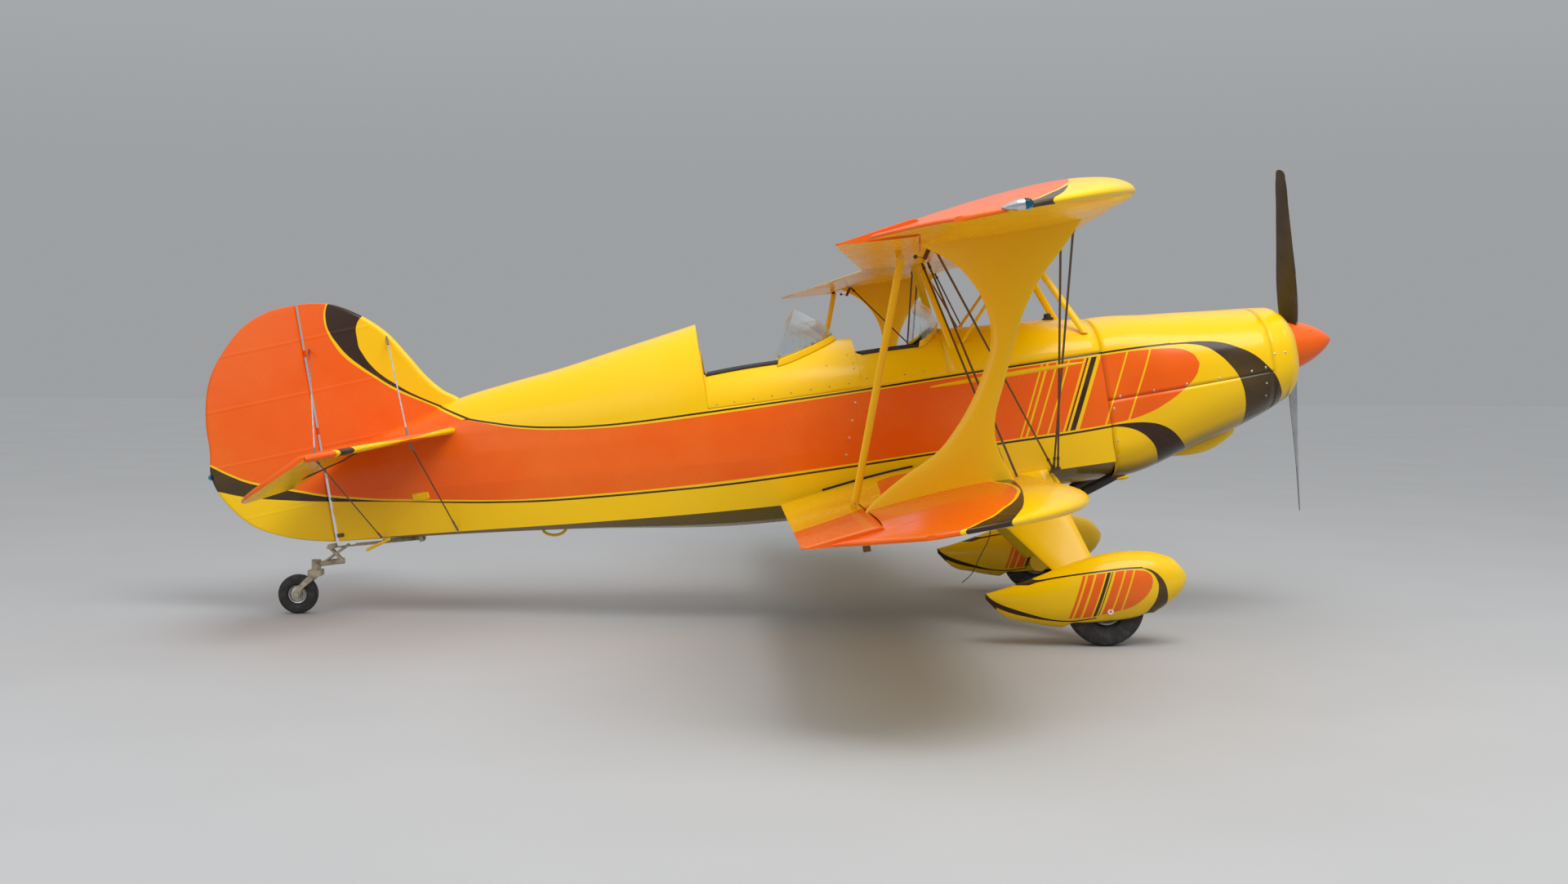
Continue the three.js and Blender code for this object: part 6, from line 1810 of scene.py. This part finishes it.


# Seat hide: creased cells with fine pores, darker in the creases, partly the hide's own tone and partly
# painted shade
hide = {"cells": 210.0, "pores": 420.0, "wear": 7.0, "crease": (0.010, 0.008, 0.007),
        "main": (0.035, 0.027, 0.022),
        "worn": (0.085, 0.066, 0.052)}


# Dark creases between cells, partly the hide's own tone and partly painted shade, worn lighter in patches,
# with pores in the bump
def makeHide():
    g = newFinish("seatHide")
    place = g.surface()
    cells = g.put("TexVoronoi", {"Vector": place, "Scale": hide["cells"]}, feature="DISTANCE_TO_EDGE")
    wear, grain = g.noise(place, hide["wear"], 4.0), g.scaled(cells.outputs["Distance"], 0.0, 0.18)
    # The creases take the darker colour: partly the hide's own and partly painted shade
    colour = g.overlay(grain, hide["crease"], hide["main"])
    colour = g.overlay(g.scaled(wear, 0.5, 0.75, 0.0, 0.4), colour, hide["worn"])
    g.shade({"Base Color": colour, "Roughness": g.scaled(wear, 0.4, 0.7, 0.42, 0.6)})
    g.bump(g.sloped(g.noise(place, hide["pores"], 2.0), 0.25, grain), 0.6, 0.0007)
    return g.owner


# Clear sheet and lenses: nearly colourless or tinted, faintly hazed by wiping
glass = {"paneGlass": [(0.84, 0.94, 0.95), 0.36, 0.08], "lensGlass": [(0.03, 0.32, 0.62), 0.95, 0.12],
         "bends": 1.25,
         "streaks": (9.0, 30.0, 4.0), "dimmed": 0.92}


# The tint and a slightly darker one by a noise drawn out into streaks
def makeGlass(name):
    tint, alpha, haze = glass[name]
    g = newFinish(name)
    streaks = g.put("Mapping", {"Vector": g.surface(), "Scale": glass["streaks"]}).outputs[0]
    wiped = g.noise(streaks, 3.0, 4.0)
    colour = g.overlay(g.scaled(wiped, 0.4, 0.7), tint, tuple(part * glass["dimmed"] for part in tint))
    g.shade({"Base Color": colour, "Roughness": g.scaled(wiped, 0.35, 0.7, 0.02, haze),
             "Transmission Weight": 1.0, "IOR": glass["bends"], "Alpha": alpha})
    return g.owner


# Two greys by a very coarse noise
def makeFloor():
    g = newFinish("floorFinish")
    cloud = g.scaled(g.noise(g.surface(), 0.9, 5.0), 0.3, 0.7)
    g.shade({"Base Color": g.overlay(cloud, (0.40, 0.40, 0.40), (0.42, 0.42, 0.42)), "Roughness": 0.75})
    return g.owner


liveryPaint, pantPaint = makeLivery(), makePantPaint()
wingPaint = {which: makeWingPaint(which) for which in ("upper", "lower")}
tailplanePaint, elevatorPaint = makeTailplanePaint(), makeElevatorPaint()
plainYellow, spinnerPaint = plainPaint("plainYellow", "yellow"), plainPaint("spinnerPaint", "orange")
(brightSteel, dullSteel, wheelMetal, beigeEnamel, bladePaint, bladeMetal, paintedShadeBlack, rimRubber, panelBlack,
 dialFace, needleWhite, sootyPipe, bracketRust, wireBrown, tyreRubber) = (makeTrim(name) for name in trims)
seatHide, floorFinish = makeHide(), makeFloor()
paneGlass, lensGlass = makeGlass("paneGlass"), makeGlass("lensGlass")
# The material slot that each finish fills
slots = {
    "yellow_paint": ["plainYellow", "pantPaint", "liveryPaint"],
    "orange_paint": ["upperWingPaint", "lowerWingPaint", "tailplanePaint", "elevatorPaint", "spinnerPaint"],
    "bare_steel": ["brightSteel", "dullSteel", "wheelMetal", "wireBrown"], "beige_steel": ["beigeEnamel"],
    "black_paint": ["paintedShadeBlack", "rimRubber", "dialFace", "sootyPipe"], "brown_paint": ["bracketRust"],
    "tyre_rubber": ["tyreRubber"], "seat_leather": ["seatHide"], "clear_glass": ["paneGlass", "lensGlass"],
}
slotOf = {finish: slot for slot, finishes in slots.items() for finish in finishes}
print("finishes made")


camera = {
    "place": (-0.2291, -9.4, 1.3588), "yaw": 0.0308, "pitch": 0.0495, "roll": 0.0067,  # radians
    "lens": 41.9, "sensor": 36.0,
}


# Looks ahead by yaw and pitch, then rolls about that line
def buildCamera():
    yaw, pitch, roll = camera["yaw"], camera["pitch"], camera["roll"]
    ahead = Vector((math.sin(yaw) * math.cos(pitch), math.cos(yaw) * math.cos(pitch), -math.sin(pitch)))
    right = Vector((math.cos(yaw), -math.sin(yaw), 0))
    up = right.cross(ahead)
    side = math.cos(roll) * right + math.sin(roll) * up
    over = -math.sin(roll) * right + math.cos(roll) * up
    lens = bpy.data.cameras.new("view")
    lens.lens, lens.sensor_width, lens.sensor_fit = camera["lens"], camera["sensor"], "HORIZONTAL"
    lens.clip_end = 200
    eye = bpy.data.objects.new("view", lens)
    bpy.context.scene.collection.objects.link(eye)
    eye.matrix_world = Matrix.Translation(camera["place"]) @ Matrix((side, over,
                                                                     -ahead)).transposed().to_4x4()
    bpy.context.scene.camera = eye
    bpy.context.scene.view_settings.view_transform = "Standard"


studio = {
    "floor": 40.0, "sky": (0.94, 0.97, 1.0), "horizon": 0.36, "zenith": 0.95,
    "lamps": {"key": {"place": (2.5, -5.5, 9.0), "size": 7.0, "power": 680},
              "fill": {"place": (-6.0, -8.0, 3.5), "size": 6.0, "power": 110}},
    "aim": (0, 0, 1.0),
}


# A grey floor, a sky that brightens upward, and two round lamps aimed at the airframe
def buildStage():
    floor, reach = bpy.data.meshes.new("floor"), studio["floor"]
    corners = [(reach * x, reach * y, 0) for x, y in ((-1, -1), (1, -1), (1, 1), (-1, 1))]
    floor.from_pydata(corners, [], [(0, 1, 2, 3)])
    ground = bpy.data.objects.new("floor", floor)
    bpy.context.scene.collection.objects.link(ground)
    floor.materials.append(floorFinish)
    world = bpy.data.worlds.new("studio")
    bpy.context.scene.world = world
    g = Nodes(world)
    sky = world.node_tree.nodes["Background"]
    g.feed(sky.inputs["Color"], studio["sky"])
    upward = g.apart(g.surface("Generated"))[2]
    g.feed(sky.inputs["Strength"], g.scaled(upward, 0.05, 0.8, studio["horizon"], studio["zenith"], True))
    for name, facts in studio["lamps"].items():
        lamp = bpy.data.lights.new(name, "AREA")
        lamp.shape, lamp.size, lamp.energy = "DISK", facts["size"], facts["power"]
        lit = bpy.data.objects.new(name, lamp)
        bpy.context.scene.collection.objects.link(lit)
        lit.location = facts["place"]
        aim = Vector(studio["aim"]) - Vector(facts["place"])
        lit.rotation_euler = aim.to_track_quat("-Z", "Y").to_euler()


buildFuselage()
buildCowl()
buildWings()
buildWingFittings()
buildBracing()
buildFinAndRudder()
buildTailplane()
buildMainGear()
buildTailWheel()
buildPropeller()
buildWindshields()
buildCockpits()
buildFittings()
buildFasteners()
buildCamera()
buildStage()
